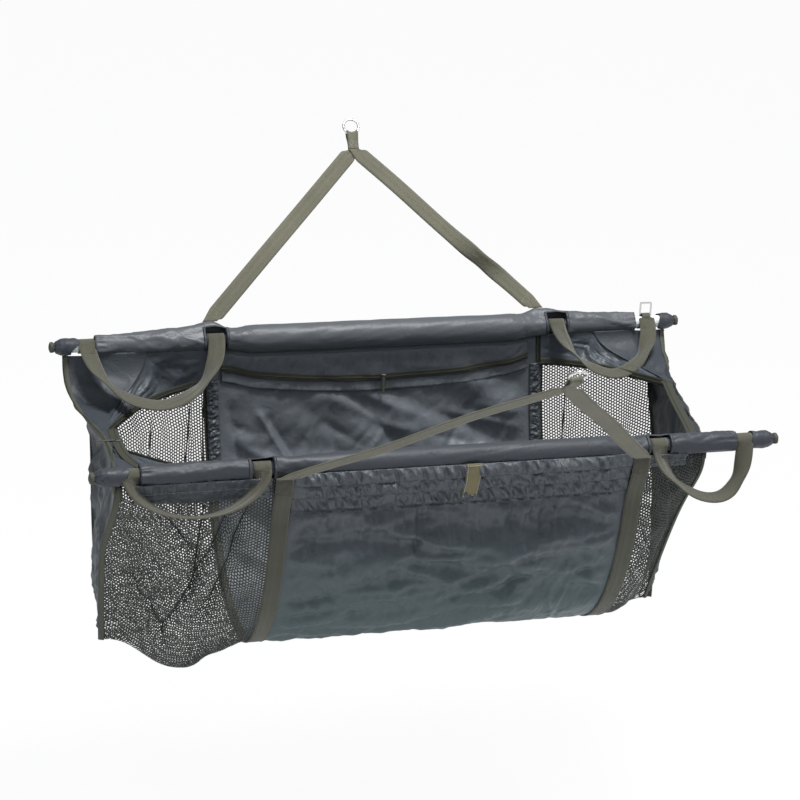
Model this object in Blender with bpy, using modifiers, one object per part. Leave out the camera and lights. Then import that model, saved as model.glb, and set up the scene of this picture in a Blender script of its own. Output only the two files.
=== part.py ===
"""A weigh sling for large carp, hung open by its two webbing hangers.

Two sleeves carry the poles, the cloth hangs between them as a deep tray, and each sleeve has
a webbing hanger with a steel ring for the scale's hook. X runs along the sling, -Y is the
front, Z is up. Sizes are in metres. Shapes are worked out from the middle of the rear pole's
axis, and a root empty then puts the model's origin at the middle of the rear ring.
"""

import math
from dataclasses import dataclass

import bmesh
import bpy
import numpy as np
from mathutils import Matrix, Vector

# Overall sizes of the sling
SLING_LENGTH = 1.196
MOUTH_WIDTH = 0.480
FRONT_DROP = 0.066
BAG_DEPTH = 0.452
SEAM_SETBACK = 0.220
FIT_GAP = 0.0003
SEAM_GAP = 0.0004
CUT_OVERRUN = 0.010

# Poles, their plugs and the foam floats on them
POLE_RADIUS = 0.0110
POLE_WALL = 0.0020
PLUG_SETBACK = 0.0180
PLUG_HEAD = 0.0040
PLUG_SHANK = 0.0200
REAR_FOAM_RADIUS = 0.0222
FRONT_FOAM_RADIUS = 0.0180
FOAM_LENGTH = 0.480
REAR_FOAM_SHIFT = 0.018
FRONT_FOAM_SHIFT = 0.030

# Sleeves and end pockets, sewn from coated cloth
CLOTH = 0.0016
SLEEVE_END_RADIUS = 0.0170
SLEEVE_GAP = 0.0090
POCKET_GAP = 0.0130
SWELL_LENGTH = 0.060
PEAK_REACH = 0.0340
PEAK_SPREAD = 0.0200
PEAK_LEAN = math.radians(22.5)
PEAK_RUN_SHARE = 1.5
WINDOW_LENGTH = 0.0370
POCKET_LENGTH = 0.0380
POCKET_RADIUS = 0.0150
HEM_RADIUS = 0.0085
HEM_LENGTH = 0.0090

# Webbing
WEBBING_WIDTH = 0.0300
WEBBING_THICKNESS = 0.0016
STRAP_SPAN = 0.622
REAR_STRAP_SHIFT = 0.005
FRONT_STRAP_SHIFT = 0.030
STRAP_SETTLE_SHARE = 0.24

# Hook rings and the hangers that carry them
RING_RADIUS = 0.0145
RING_WIRE_RADIUS = 0.0022
EYE_WIDTH = 0.0150
NECK_LENGTH = 0.0300
FOOT_WIDTH = 0.0270
FOOT_BLEND = 0.0350
FOOT_TAIL = 0.0004
REAR_RING_SIDE = 0.000
REAR_RING_BACK = 0.222
REAR_RING_RISE = 0.338
FRONT_RING_SIDE = 0.112
FRONT_RING_OUT = 0.292
FRONT_RING_RISE = 0.236
FRONT_FOOT_RADIUS = 0.0270
FRONT_FOOT_ANGLE = math.radians(25)

# Carry handles
HANDLE_WRAP = math.radians(316)
HANDLE_ROLL = math.radians(40)
REAR_HANDLE_SLOPE = math.radians(42)
FRONT_HANDLE_SLOPE = math.radians(80)
REAR_LEFT_DROP = 0.134
REAR_RIGHT_DROP = 0.115
FRONT_LEFT_DROP = 0.072
FRONT_RIGHT_DROP = 0.095
REAR_LEFT_INSET = -0.008
REAR_RIGHT_INSET = 0.036
FRONT_HANDLE_INSET = 0.035

# Metal loop threaded on the rear right handle
LOOP_WIDTH = 0.0240
LOOP_HEIGHT = 0.0270
LOOP_BAR = 0.0030
LOOP_THICKNESS = 0.0020

# Cloth walls and end gussets
WALL_CLOTH = 0.0016
MESH_CLOTH = 0.0012
CENTRE_ORDER = 2.45
END_ORDER = 0.95
END_ORDER_RISE = 0.80
END_SETBACK = 0.023
LEFT_END_SLANT = 0.030
RIGHT_END_SLANT = 0.097
LEFT_BELLY = 0.030
RIGHT_BELLY = 0.012
GUSSET_BULGE = 0.026
GUSSET_DEPTH_SHARE = 0.97
RUCHE_WIDTH = 0.0260
RUCHE_THICKNESS = 0.0035
RUCHE_TOP_SHARE = 0.12
RUCHE_FOOT_SHARE = 0.62

# Mouth: the zipped decks at both ends
MOUTH_LEVEL = 0.095
MOUTH_CORNER_ORDER = 4.0
DECK_SLOPE = math.radians(35)
DECK_DEPTH = 0.055
ZIP_SWEEP = 0.095
ZIP_WIDTH = 0.0140
ZIP_THICKNESS = 0.0012

# Gathered band and closing tab on the front
BAND_HEIGHT = 0.074
BAND_CLOTH = 0.0020
BAND_RIB = 0.0018
BAND_CHANNELS = 3
BAND_TOP_SHARE = 0.15
CHANNEL_SHARE = 0.6
GATHER_SHARE = 0.5
TAB_WIDTH = 0.0260
TAB_HEIGHT = 0.0620
TAB_THICKNESS = 0.0022
TAB_PLACE = 0.040
TAB_RISE_SHARE = 0.08

# Zip inside the rear wall, its facing and its slider
FACING_REACH_SHARE = 0.94
FACING_TOP_SHARE = 0.015
FACING_FOOT_SHARE = 0.045
ZIP_SIDE_SHARE = 0.070
ZIP_MIDDLE_SHARE = 0.135
FACING_CLOTH = 0.0012
LINING_SLACK = 0.0009
SLIDER_WIDTH = 0.0100
SLIDER_HEIGHT = 0.0120
SLIDER_THICKNESS = 0.0040
REAR_SLIDER_PLACE = 0.018
PULL_LENGTH = 0.0300
PULL_WIDTH = 0.0050
PULL_THICKNESS = 0.0016
BUTTON_RADIUS = 0.0050
BUTTON_THICKNESS = 0.0030

# Facets
ROUND_STEPS = 16
RING_STEPS = 24
WRAP_STEPS = 18
WALL_STEPS = 11

HALF_MOUTH = MOUTH_WIDTH / 2
STRAP_X = STRAP_SPAN / 2
TIP = SLING_LENGTH / 2
POLE_LENGTH = SLING_LENGTH - 2 * PLUG_SETBACK
HANDLE_OUTER_PLACE = TIP - POCKET_LENGTH - POCKET_GAP - WEBBING_WIDTH / 2
SLEEVE_LENGTH = 2 * (HANDLE_OUTER_PLACE - WEBBING_WIDTH / 2 - SLEEVE_GAP)
END_TOP = TIP - END_SETBACK
LEFT_END_FOOT = END_TOP - LEFT_END_SLANT
RIGHT_END_FOOT = END_TOP - RIGHT_END_SLANT
ZIP_MEETING_PLACE = END_TOP - DECK_DEPTH
ZIP_SLEEVE_PLACE = ZIP_MEETING_PLACE - ZIP_SWEEP
SEAM_Y = SEAM_SETBACK - HALF_MOUTH
LAP = WALL_CLOTH / 2 + SEAM_GAP + WEBBING_THICKNESS / 2
END_LAP = WALL_CLOTH + 3 * SEAM_GAP


@dataclass
class Line:
    """One long side of the sling: its pole's axis, its float and its straps."""

    name: str
    side: int
    axis_z: float
    foam_radius: float
    foam_shift: float
    strap_shift: float

    @property
    def axis_y(self):
        return self.side * HALF_MOUTH

    def radius(self, x):
        """The sleeve's outer radius at places along the sling."""
        past = np.abs(np.asarray(x, float) - self.foam_shift) - FOAM_LENGTH / 2
        swell = eased(1 - past / SWELL_LENGTH)
        middle = (self.foam_radius + FIT_GAP) / math.cos(math.pi / ROUND_STEPS) + CLOTH
        return SLEEVE_END_RADIUS + (middle - SLEEVE_END_RADIUS) * swell

    def stations(self):
        """Places along the sling where the sleeve's width changes over the float's ends."""
        swell = FOAM_LENGTH / 2 + SWELL_LENGTH * np.array([0, 0.5, 1])
        return np.concatenate([self.foam_shift - swell, self.foam_shift + swell])

    def point(self, x, radius, angle):
        """A point round the pole's axis, at an angle measured from the rear upwards."""
        return Vector((x, self.axis_y + radius * math.cos(angle), self.axis_z + radius * math.sin(angle)))

    def strap_place(self, end, depth=0.0):
        """Where the strap at this end lies along the sling, at a depth down the wall."""
        mean = (REAR_STRAP_SHIFT + FRONT_STRAP_SHIFT) / 2
        return end * STRAP_X + self.strap_shift + (mean - self.strap_shift) * depth


def eased(value):
    """A smooth step from 0 to 1, for values from 0 to 1."""
    value = np.clip(value, 0, 1)
    return value * value * (3 - 2 * value)


REAR = Line("rear", 1, 0.0, REAR_FOAM_RADIUS, REAR_FOAM_SHIFT, REAR_STRAP_SHIFT)
FRONT = Line("front", -1, -FRONT_DROP, FRONT_FOAM_RADIUS, FRONT_FOAM_SHIFT, FRONT_STRAP_SHIFT)
REAR_FOOT_RADIUS = PEAK_REACH + SEAM_GAP + WEBBING_THICKNESS / 2
REAR_FOOT = Vector(
    (
        0,
        HALF_MOUTH + REAR_FOOT_RADIUS * math.sin(PEAK_LEAN),
        REAR_FOOT_RADIUS * math.cos(PEAK_LEAN),
    )
)
FRONT_FOOT = Vector(
    (
        0,
        -HALF_MOUTH - FRONT_FOOT_RADIUS * math.cos(FRONT_FOOT_ANGLE),
        -FRONT_DROP - FRONT_FOOT_RADIUS * math.sin(FRONT_FOOT_ANGLE),
    )
)
REAR_RING = Vector((REAR_RING_SIDE, HALF_MOUTH + REAR_RING_BACK, REAR_RING_RISE))
FRONT_RING = Vector((FRONT_RING_SIDE, -HALF_MOUTH - FRONT_RING_OUT, FRONT_RING_RISE - FRONT_DROP))
SEAM_PIVOT = Vector((0, SEAM_Y, WALL_CLOTH / 2 - BAG_DEPTH))

NYLON = ("coated_nylon", (0.075, 0.088, 0.115), 0.52, 0.0)
MESH = ("fine_mesh", (0.16, 0.17, 0.13), 0.80, 0.0)
WEBBING = ("olive_webbing", (0.145, 0.140, 0.100), 0.85, 0.0)
TAPE = ("zip_tape", (0.050, 0.048, 0.036), 0.80, 0.0)
STEEL = ("ring_steel", (0.72, 0.72, 0.70), 0.28, 1.0)
PLASTIC = ("white_tube", (0.80, 0.82, 0.80), 0.40, 0.0)
FOAM = ("grey_foam", (0.30, 0.30, 0.30), 0.90, 0.0)
HOOK_TAPE = ("hook_tape", (0.230, 0.205, 0.110), 0.90, 0.0)
BLACK = ("black_plastic", (0.03, 0.03, 0.03), 0.45, 0.0)

pivots = {}


def clear_scene():
    """Removes whatever the scene holds."""
    for obj in list(bpy.data.objects):
        bpy.data.objects.remove(obj, do_unlink=True)


def collection_named(name):
    """The collection of this name, made and linked once."""
    found = bpy.data.collections.get(name)
    if found is None:
        found = bpy.data.collections.new(name)
        bpy.context.scene.collection.children.link(found)
    return found


def unlinked(made, name):
    """A piece just made by an operator, named and taken out of the scene's collections."""
    made.name = name
    for old in list(made.users_collection):
        old.objects.unlink(made)
    return made


def material(look):
    """A Principled material, made once for each look."""
    name, colour, roughness, metallic = look
    made = bpy.data.materials.get(name)
    if made is None:
        made = bpy.data.materials.new(name)
        made.use_nodes = True
        shader = made.node_tree.nodes["Principled BSDF"]
        shader.inputs["Base Color"].default_value = (*colour, 1)
        shader.inputs["Roughness"].default_value = roughness
        shader.inputs["Metallic"].default_value = metallic
    return made


def body(name, pivot, parent=None):
    """An empty on a joint's axis, which carries the pieces of one moving body."""
    empty = bpy.data.objects.new(name, None)
    collection_named("weigh_sling").objects.link(empty)
    pivots[name] = Vector(pivot)
    empty.location = pivots[name]
    if parent is not None:
        empty.parent = parent
        empty.location = pivots[name] - pivots[parent.name]
    return empty


def carried(obj, holder, look):
    """Links a piece, gives it its material and hands it to its body."""
    collection_named("weigh_sling").objects.link(obj)
    obj.data.materials.append(material(look))
    obj.parent = holder
    obj.location = obj.location - pivots[holder.name]
    return obj


def faces_of(rows, columns, ring):
    """Quads between neighbouring rows of points, closed round where they form a ring."""
    last = columns if ring else columns - 1
    for row in range(rows - 1):
        for column in range(last):
            after = (column + 1) % columns
            yield (
                row * columns + column,
                (row + 1) * columns + column,
                (row + 1) * columns + after,
                row * columns + after,
            )


def object_of(name, points, faces, smooth=True):
    """A mesh object with its faces turned outwards."""
    mesh = bpy.data.meshes.new(name)
    mesh.from_pydata(np.asarray(points, float).reshape(-1, 3).tolist(), [], list(faces))
    made = bmesh.new()
    made.from_mesh(mesh)
    bmesh.ops.recalc_face_normals(made, faces=made.faces[:])
    made.to_mesh(mesh)
    made.free()
    if smooth:
        mesh.shade_smooth()
        mesh.set_sharp_from_angle(angle=math.radians(50))
    return bpy.data.objects.new(name, mesh)


def sheet(name, points, thickness, holder, look):
    """Cloth or webbing: an open grid of points made solid on both sides."""
    rows, columns = points.shape[:2]
    made = object_of(name, points, faces_of(rows, columns, False))
    solid = made.modifiers.new("thickness", "SOLIDIFY")
    solid.thickness = thickness
    solid.offset = 0
    solid.use_even_offset = True
    return carried(made, holder, look)


def walled_tube(name, outer, inner, holder, look):
    """A tube from two sets of rings, open at both ends."""
    rows, columns = outer.shape[:2]
    count = rows * columns
    faces = list(faces_of(rows, columns, True))
    faces += [tuple(count + index for index in reversed(face)) for face in faces_of(rows, columns, True)]
    for start in (0, count - columns):
        for column in range(columns):
            after = (column + 1) % columns
            faces.append((start + column, start + after, count + start + after, count + start + column))
    return carried(object_of(name, np.concatenate([outer, inner]), faces), holder, look)


def turned(name, profile, holder, look, place, end=1, closed=False):
    """A profile of radius and height turned about its own axis, whose top then faces this end."""
    mesh = bpy.data.meshes.new(name)
    edges = [(index, index + 1) for index in range(len(profile) - 1)]
    if closed:
        edges.append((len(profile) - 1, 0))
    mesh.from_pydata([(radius, 0, height) for radius, height in profile], edges, [])
    made = bpy.data.objects.new(name, mesh)
    screw = made.modifiers.new("turn", "SCREW")
    screw.steps = screw.render_steps = ROUND_STEPS
    screw.use_merge_vertices = True
    screw.merge_threshold = 0.00001
    screw.use_smooth_shade = True
    made.rotation_euler = (0, end * math.radians(90), 0)
    made.location = place
    return carried(made, holder, look)


def box_cutter(name, low, high, holder):
    """A hidden box for cutting, between two corners."""
    bpy.ops.mesh.primitive_cube_add(size=1)
    made = unlinked(bpy.context.object, name)
    collection_named("cutters").objects.link(made)
    low, high = Vector(low), Vector(high)
    made.data.transform(Matrix.Diagonal((*(high - low), 1)))
    made.location = (low + high) / 2 - pivots[holder.name]
    made.parent = holder
    made.hide_render = True
    made.display_type = "WIRE"
    return made


def cut(obj, cutter):
    """Takes the cutter's shape out of the piece."""
    modifier = obj.modifiers.new(cutter.name, "BOOLEAN")
    modifier.operation = "DIFFERENCE"
    modifier.object = cutter


def steps_down(count):
    """Depths down a wall, closer together where the wall turns under the sling."""
    return np.sin(np.linspace(0, math.pi / 2, count)) ** (2 / CENTRE_ORDER)


def wall_surface(line, across, depth, cloth):
    """The middle of a wall's cloth.

    Places across run from -2 at the left end to 2 at the right, with the straps at -1 and 1.
    Depths run from 0 at the sleeve to 1 at the seam under the sling.
    """
    across, depth = np.broadcast_arrays(np.asarray(across, float), np.asarray(depth, float))
    bay = np.clip(np.abs(across) - 1, 0, 1)
    ease = eased(bay)
    strap = line.strap_place(np.clip(across, -1, 1), depth)
    foot = np.where(across < 0, LEFT_END_FOOT, RIGHT_END_FOOT)
    end = np.sign(across) * (END_TOP + (foot - END_TOP) * depth)
    x = strap + bay * (end - strap)
    end_order = END_ORDER + END_ORDER_RISE * (1 - depth) ** 8
    order = CENTRE_ORDER + (end_order - CENTRE_ORDER) * ease
    out = (1 - depth**order) ** (1 / order)
    apart = SEAM_GAP / 2 + (cloth - SEAM_GAP / 2) * ease
    y = SEAM_Y + line.side * (apart + (abs(line.axis_y - SEAM_Y) - apart) * out)
    belly = np.where(across < 0, LEFT_BELLY, RIGHT_BELLY) * np.sin(math.pi * bay) ** 4 * depth**2
    top = line.axis_z - line.radius(x) - SEAM_GAP - cloth / 2
    return np.stack([x, y, top - (BAG_DEPTH + top) * depth - belly], -1)


def grid_of(line, across, depth, cloth):
    """A wall's surface on a grid of places across and depths."""
    return wall_surface(line, np.asarray(across)[:, None], np.asarray(depth)[None, :], cloth)


def lifted(line, points, height):
    """A grid moved off its wall: outwards by a positive height, inwards by a negative one."""
    normal = np.cross(np.gradient(points, axis=0), np.gradient(points, axis=1))
    normal /= np.linalg.norm(normal, axis=-1, keepdims=True)
    outward = line.side * np.sign(normal[..., :1, 1:2].mean())
    return points + normal * outward * height


def wall_panels(line, holder):
    """The nylon panel between the straps and the two mesh bays beside it."""
    depth = steps_down(WALL_STEPS)
    seam = (SEAM_GAP + MESH_CLOTH) / STRAP_SPAN
    bends = (line.stations() - line.strap_shift) / STRAP_X
    across = np.sort(np.concatenate([np.linspace(-1, 1, 9), bends[np.abs(bends) < 0.98]]))
    centre = grid_of(line, across, depth, WALL_CLOTH)
    sheet(f"{line.name}_centre_panel", centre, WALL_CLOTH, holder, NYLON)
    for end, label in ((-1, "left"), (1, "right")):
        beside_strap = WEBBING_WIDTH / (2 * END_TOP - STRAP_SPAN)
        across = 1 + np.concatenate([[seam], np.linspace(beside_strap, 1, 7)])
        bay = grid_of(line, end * across, depth, MESH_CLOTH)
        sheet(f"{line.name}_mesh_{label}", bay, MESH_CLOTH, holder, MESH)


def ribbon(centre, half_widths):
    """Three lines of points along a strip: its two edges and its middle."""
    return np.stack([centre - half_widths, centre, centre + half_widths])


def wall_strap(line, end, label, holder):
    """The webbing that runs from the sleeve down the outside of the wall to the seam."""
    edge = 1 - WEBBING_WIDTH / 2 / STRAP_X
    inner = grid_of(line, [end * edge, end], steps_down(WALL_STEPS), WALL_CLOTH)
    centre = lifted(line, inner, LAP)[1]
    if line is FRONT:
        depth = (centre[:, 2] - centre[0, 2]) / (centre[-1, 2] - centre[0, 2])
        standoff = centre[0, 1] - FRONT_FOOT.y - WEBBING_THICKNESS - SEAM_GAP
        centre[:, 1] -= standoff * (1 - eased(depth / STRAP_SETTLE_SHARE))
        top = [centre[0, 0], centre[0, 1], FRONT_FOOT.z + WEBBING_THICKNESS]
        centre = np.concatenate([[top], centre])
    points = ribbon(centre, np.array([WEBBING_WIDTH / 2, 0, 0]))
    sheet(f"{line.name}_strap_{label}", points, WEBBING_THICKNESS, holder, WEBBING)


def sleeve(line, holder):
    """The cloth tube round the pole, drawn up into peaks where the rear hanger pulls it."""
    stations = np.append(np.linspace(-SLEEVE_LENGTH / 2, SLEEVE_LENGTH / 2, 7), line.stations())
    feet = [line.strap_place(end) for end in (-1, 1)] if line is REAR else []
    for foot in feet:
        run = PEAK_RUN_SHARE * PEAK_SPREAD
        stations = stations[np.abs(stations - foot) > run + SLEEVE_END_RADIUS / ROUND_STEPS]
        stations = np.append(stations, foot + np.linspace(-run, run, 7))
    x = np.sort(stations)[:, None]
    angle = (np.arange(ROUND_STEPS) * math.tau / ROUND_STEPS)[None, :]
    toward = np.clip(np.cos(angle - (math.pi / 2 - PEAK_LEAN)), 0, 1) ** 8
    bump = sum((np.exp(-(((x - foot) / PEAK_SPREAD) ** 2)) for foot in feet), np.zeros_like(x))
    radius = line.radius(x) + (PEAK_REACH - line.radius(x)) * toward * bump

    def ring(size):
        y = line.axis_y + size * np.cos(angle)
        return np.stack([x + 0 * angle, y, line.axis_z + size * np.sin(angle)], -1)

    return walled_tube(f"{line.name}_sleeve", ring(radius), ring(radius - CLOTH), holder, NYLON)


def cut_window(line, obj, place, holder):
    """Opens the front of the sleeve where a handle comes round the pole."""
    reach = line.foam_radius + CUT_OVERRUN
    low = (place - WINDOW_LENGTH / 2, line.axis_y - reach, line.axis_z - reach)
    high = (place + WINDOW_LENGTH / 2, line.axis_y - FIT_GAP, line.axis_z + reach)
    cut(obj, box_cutter(f"{obj.name}_window", low, high, holder))


def pole_set(line, holder):
    """The tube, its two end plugs, the foam float round it and the pockets over its ends."""
    middle = line.point(0, 0, 0)
    bore = POLE_RADIUS - POLE_WALL
    half = POLE_LENGTH / 2
    tube = [(POLE_RADIUS, half), (POLE_RADIUS, -half), (bore, -half), (bore, half)]
    turned(f"{line.name}_pole", tube, holder, PLASTIC, middle, closed=True)
    chamfer = FOAM_LENGTH / 60
    foam_half, hole = FOAM_LENGTH / 2, POLE_RADIUS + FIT_GAP
    foam = [
        (line.foam_radius - chamfer / 2, foam_half),
        (line.foam_radius, foam_half - chamfer),
        (line.foam_radius, chamfer - foam_half),
        (line.foam_radius - chamfer / 2, -foam_half),
        (hole, -foam_half),
        (hole, foam_half),
    ]
    turned(f"{line.name}_float", foam, holder, FOAM, line.point(line.foam_shift, 0, 0), closed=True)
    shank = bore - FIT_GAP
    plug = [
        (0, PLUG_HEAD),
        (POLE_RADIUS, PLUG_HEAD),
        (POLE_RADIUS, 0),
        (shank, 0),
        (shank, -PLUG_SHANK),
        (0, -PLUG_SHANK),
    ]
    mouth = POLE_RADIUS + FIT_GAP + CLOTH / 2
    floor = half + 2 * FIT_GAP + PLUG_HEAD - TIP + POCKET_LENGTH
    pocket = [
        (0, POCKET_LENGTH),
        (HEM_RADIUS * 0.7, POCKET_LENGTH),
        (HEM_RADIUS, POCKET_LENGTH - HEM_LENGTH * 0.35),
        (HEM_RADIUS, POCKET_LENGTH - HEM_LENGTH * 0.65),
        (HEM_RADIUS * 0.8, POCKET_LENGTH - HEM_LENGTH),
        (POCKET_RADIUS * 0.9, floor),
        (POCKET_RADIUS, POCKET_LENGTH / 3),
        (mouth + CLOTH, 0),
        (mouth, 0),
        (mouth, floor),
        (0, floor),
    ]
    for end, label in ((-1, "left"), (1, "right")):
        at_plug = line.point(end * (half + FIT_GAP), 0, 0)
        turned(f"{line.name}_plug_{label}", plug, holder, BLACK, at_plug, end)
        at_mouth = line.point(end * (TIP - POCKET_LENGTH), 0, 0)
        turned(f"{line.name}_pocket_{label}", pocket, holder, NYLON, at_mouth, end)


def deck_row(end, sides, step):
    """A line of the deck over an end, from its outer edge at step 0 to the zip at step 1."""
    below = math.pi / 2 + (DECK_SLOPE - math.pi / 2) * min(1, 2 * step)
    under_pocket = POCKET_RADIUS + WALL_CLOTH / 2 + SEAM_GAP
    beside_sleeve = SLEEVE_END_RADIUS + WALL_CLOTH / 2 + SEAM_GAP
    off = under_pocket + (beside_sleeve - under_pocket) * min(1, 2 * step)
    attached = np.where(sides > 0, REAR.axis_z, FRONT.axis_z) - off * math.sin(below)
    flat = np.sqrt(np.clip(1 - np.abs(sides) ** MOUTH_CORNER_ORDER, 0, 1))
    zip_x = ZIP_SLEEVE_PLACE + (ZIP_MEETING_PLACE - ZIP_SLEEVE_PLACE) * (1 - np.abs(sides) ** 3)
    outer_x = END_TOP + END_LAP
    x = end * (outer_x + (zip_x - outer_x) * step)
    y = sides * (HALF_MOUTH - off * math.cos(below))
    return np.stack([x, y, attached + (-MOUTH_LEVEL - attached) * flat], -1)


def end_cloth(end, label, holder):
    """The gusset that closes an end, the deck over it and the zip tape on the deck's edge."""
    sides = np.sin(np.linspace(-math.pi / 2, math.pi / 2, 13))
    share = ((sides + 1) / 2)[None, :, None]
    depth = steps_down(WALL_STEPS)
    depth = depth[depth < GUSSET_DEPTH_SHARE]
    front = wall_surface(FRONT, 2 * end, depth, MESH_CLOTH)[:, None, :]
    rear = wall_surface(REAR, 2 * end, depth, MESH_CLOTH)[:, None, :]
    wall = front * (1 - share) + rear * share
    down = depth[:, None]
    spread = (1 - sides**2)[None, :]
    wall[..., 0] += end * (END_LAP + GUSSET_BULGE * spread * np.sin(math.pi * down**0.6))
    deck = np.stack([deck_row(end, sides, step) for step in np.linspace(0, 1, 5)])
    inner = deck[1, 1:-1, 1] - wall[0, 1:-1, 1]
    wall[:, 1:-1, 1] += inner * (1 - down) ** 6
    wall[..., 2] += (deck[0, :, 2] - wall[0, :, 2]) * (1 - down) ** 2
    points = np.concatenate([wall[::-1], deck[1:]])
    sheet(f"{label}_gusset", points, WALL_CLOTH, holder, NYLON)
    inward = np.array([end, 0, 0])
    tape = np.stack([deck[-1] - inward * (SEAM_GAP + reach) for reach in (0, ZIP_WIDTH)])
    sheet(f"{label}_zip_tape", tape, ZIP_THICKNESS, holder, TAPE)


def hanger_frame(foot, ring):
    """Unit vectors up a hanger towards its ring and square to it, and the distance between."""
    rise = Vector((0, ring.y - foot.y, ring.z - foot.z))
    up = rise.normalized()
    return up, Vector((1, 0, 0)).cross(up), rise.length


def hanger(line, foot, ring, holder):
    """Two webbing legs that meet in the eye under the ring."""
    up, square, height = hanger_frame(foot, ring)
    wire = height - RING_RADIUS
    top = wire - NECK_LENGTH - FIT_GAP

    def placed(x, rise, out):
        x, rise, out = np.broadcast_arrays(x, rise, out)
        base = np.array([0, foot.y, foot.z])
        along = x[..., None] * np.array([1, 0, 0])
        return base + along + rise[..., None] * np.array(up) + out[..., None] * np.array(square)

    for end, label in ((-1, "left"), (1, "right")):
        start = line.strap_place(end)
        run = np.array([ring.x - start, top])
        length = np.linalg.norm(run)
        square_to = np.array([run[1], -run[0]]) / length * WEBBING_WIDTH / 2
        past = np.concatenate([np.linspace(0, FOOT_BLEND, 4), np.linspace(FOOT_BLEND, length, 9)[1:]])
        low = eased(past / FOOT_BLEND)[:, None]
        high = eased((length - past) / FOOT_BLEND)[:, None]
        half = np.array([FOOT_WIDTH / 2, 0]) * (1 - low) + square_to * low
        half = np.array([EYE_WIDTH / 2, 0]) * (1 - high) + half * high
        middle = np.array([start, 0]) + past[:, None] / length * run
        middle[0, 1] -= FOOT_TAIL
        out = end * (WEBBING_THICKNESS + SEAM_GAP) / 2 * eased(past / length * 2)
        strip = ribbon(middle, half)
        points = placed(strip[..., 0], strip[..., 1], out[None, :])
        sheet(f"{line.name}_hanger_{label}_leg", points, WEBBING_THICKNESS, holder, WEBBING)

    x = np.linspace(-EYE_WIDTH / 2, EYE_WIDTH / 2, 5)[:, None]
    angle = math.pi / 2 + np.arange(ROUND_STEPS)[None, :] * math.tau / ROUND_STEPS
    sagitta = RING_RADIUS - np.sqrt(RING_RADIUS**2 - x**2)
    bore = (RING_WIRE_RADIUS + 2 * FIT_GAP + sagitta) / math.cos(math.pi / ROUND_STEPS)
    inner = placed(ring.x + x + 0 * angle, wire + bore * np.sin(angle), bore * np.cos(angle))
    round_size = bore + WEBBING_THICKNESS
    neck = WEBBING_THICKNESS + SEAM_GAP / 2
    out, rise = round_size * np.cos(angle), round_size * np.sin(angle)
    low = np.sin(angle) < -0.6
    lowest = np.sin(angle) < -0.8
    out = np.where(low, np.sign(np.round(np.cos(angle), 6)) * neck, out)
    rise = np.where(low, -NECK_LENGTH / 3, rise)
    rise = np.where(lowest, -NECK_LENGTH, rise)
    outer = placed(ring.x + x + 0 * angle, wire + rise, out)
    walled_tube(f"{line.name}_hanger_eye", outer, inner, holder, WEBBING)


def hook_ring(line, foot, ring, holder):
    """The steel ring that the scale's hook takes."""
    up, _, _ = hanger_frame(foot, ring)
    bpy.ops.mesh.primitive_torus_add(
        major_segments=RING_STEPS,
        minor_segments=8,
        major_radius=RING_RADIUS,
        minor_radius=RING_WIRE_RADIUS,
        location=ring,
        rotation=(math.atan2(up.z, up.y), 0, 0),
    )
    made = unlinked(bpy.context.object, f"{line.name}_ring")
    made.data.shade_smooth()
    return carried(made, holder, STEEL)


def handle_wrap(slope, threaded):
    """The webbing's way round the pole: angles, radii and half widths, from its tail on."""
    angle = np.linspace(HANDLE_WRAP, 0, WRAP_STEPS + 1)[:-1]
    step = HANDLE_WRAP / WRAP_STEPS
    radius = (POLE_RADIUS + FIT_GAP + WEBBING_THICKNESS / 2) / math.cos(step / 2) + 0 * angle
    half = WEBBING_WIDTH / 2 + 0 * angle
    if threaded:
        past = np.abs(angle - slope)
        bump = eased(1.25 - past / (2.5 * step))
        radius += (bar_radius() + bar_sweep() + FIT_GAP + WEBBING_THICKNESS / 2 - radius) * bump
        narrow = LOOP_WIDTH / 2 - LOOP_BAR - LOOP_THICKNESS / 2
        half += (narrow - half) * eased(2 - past / (2.5 * step))
    return angle, radius, half


def bar_sweep():
    """How far the metal loop's lower bar reaches from its own middle as it turns."""
    return math.hypot(LOOP_BAR, LOOP_THICKNESS) / 2


def bar_radius():
    """How far that bar's middle lies from the pole's axis."""
    return POLE_RADIUS + FIT_GAP + bar_sweep()


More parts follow.
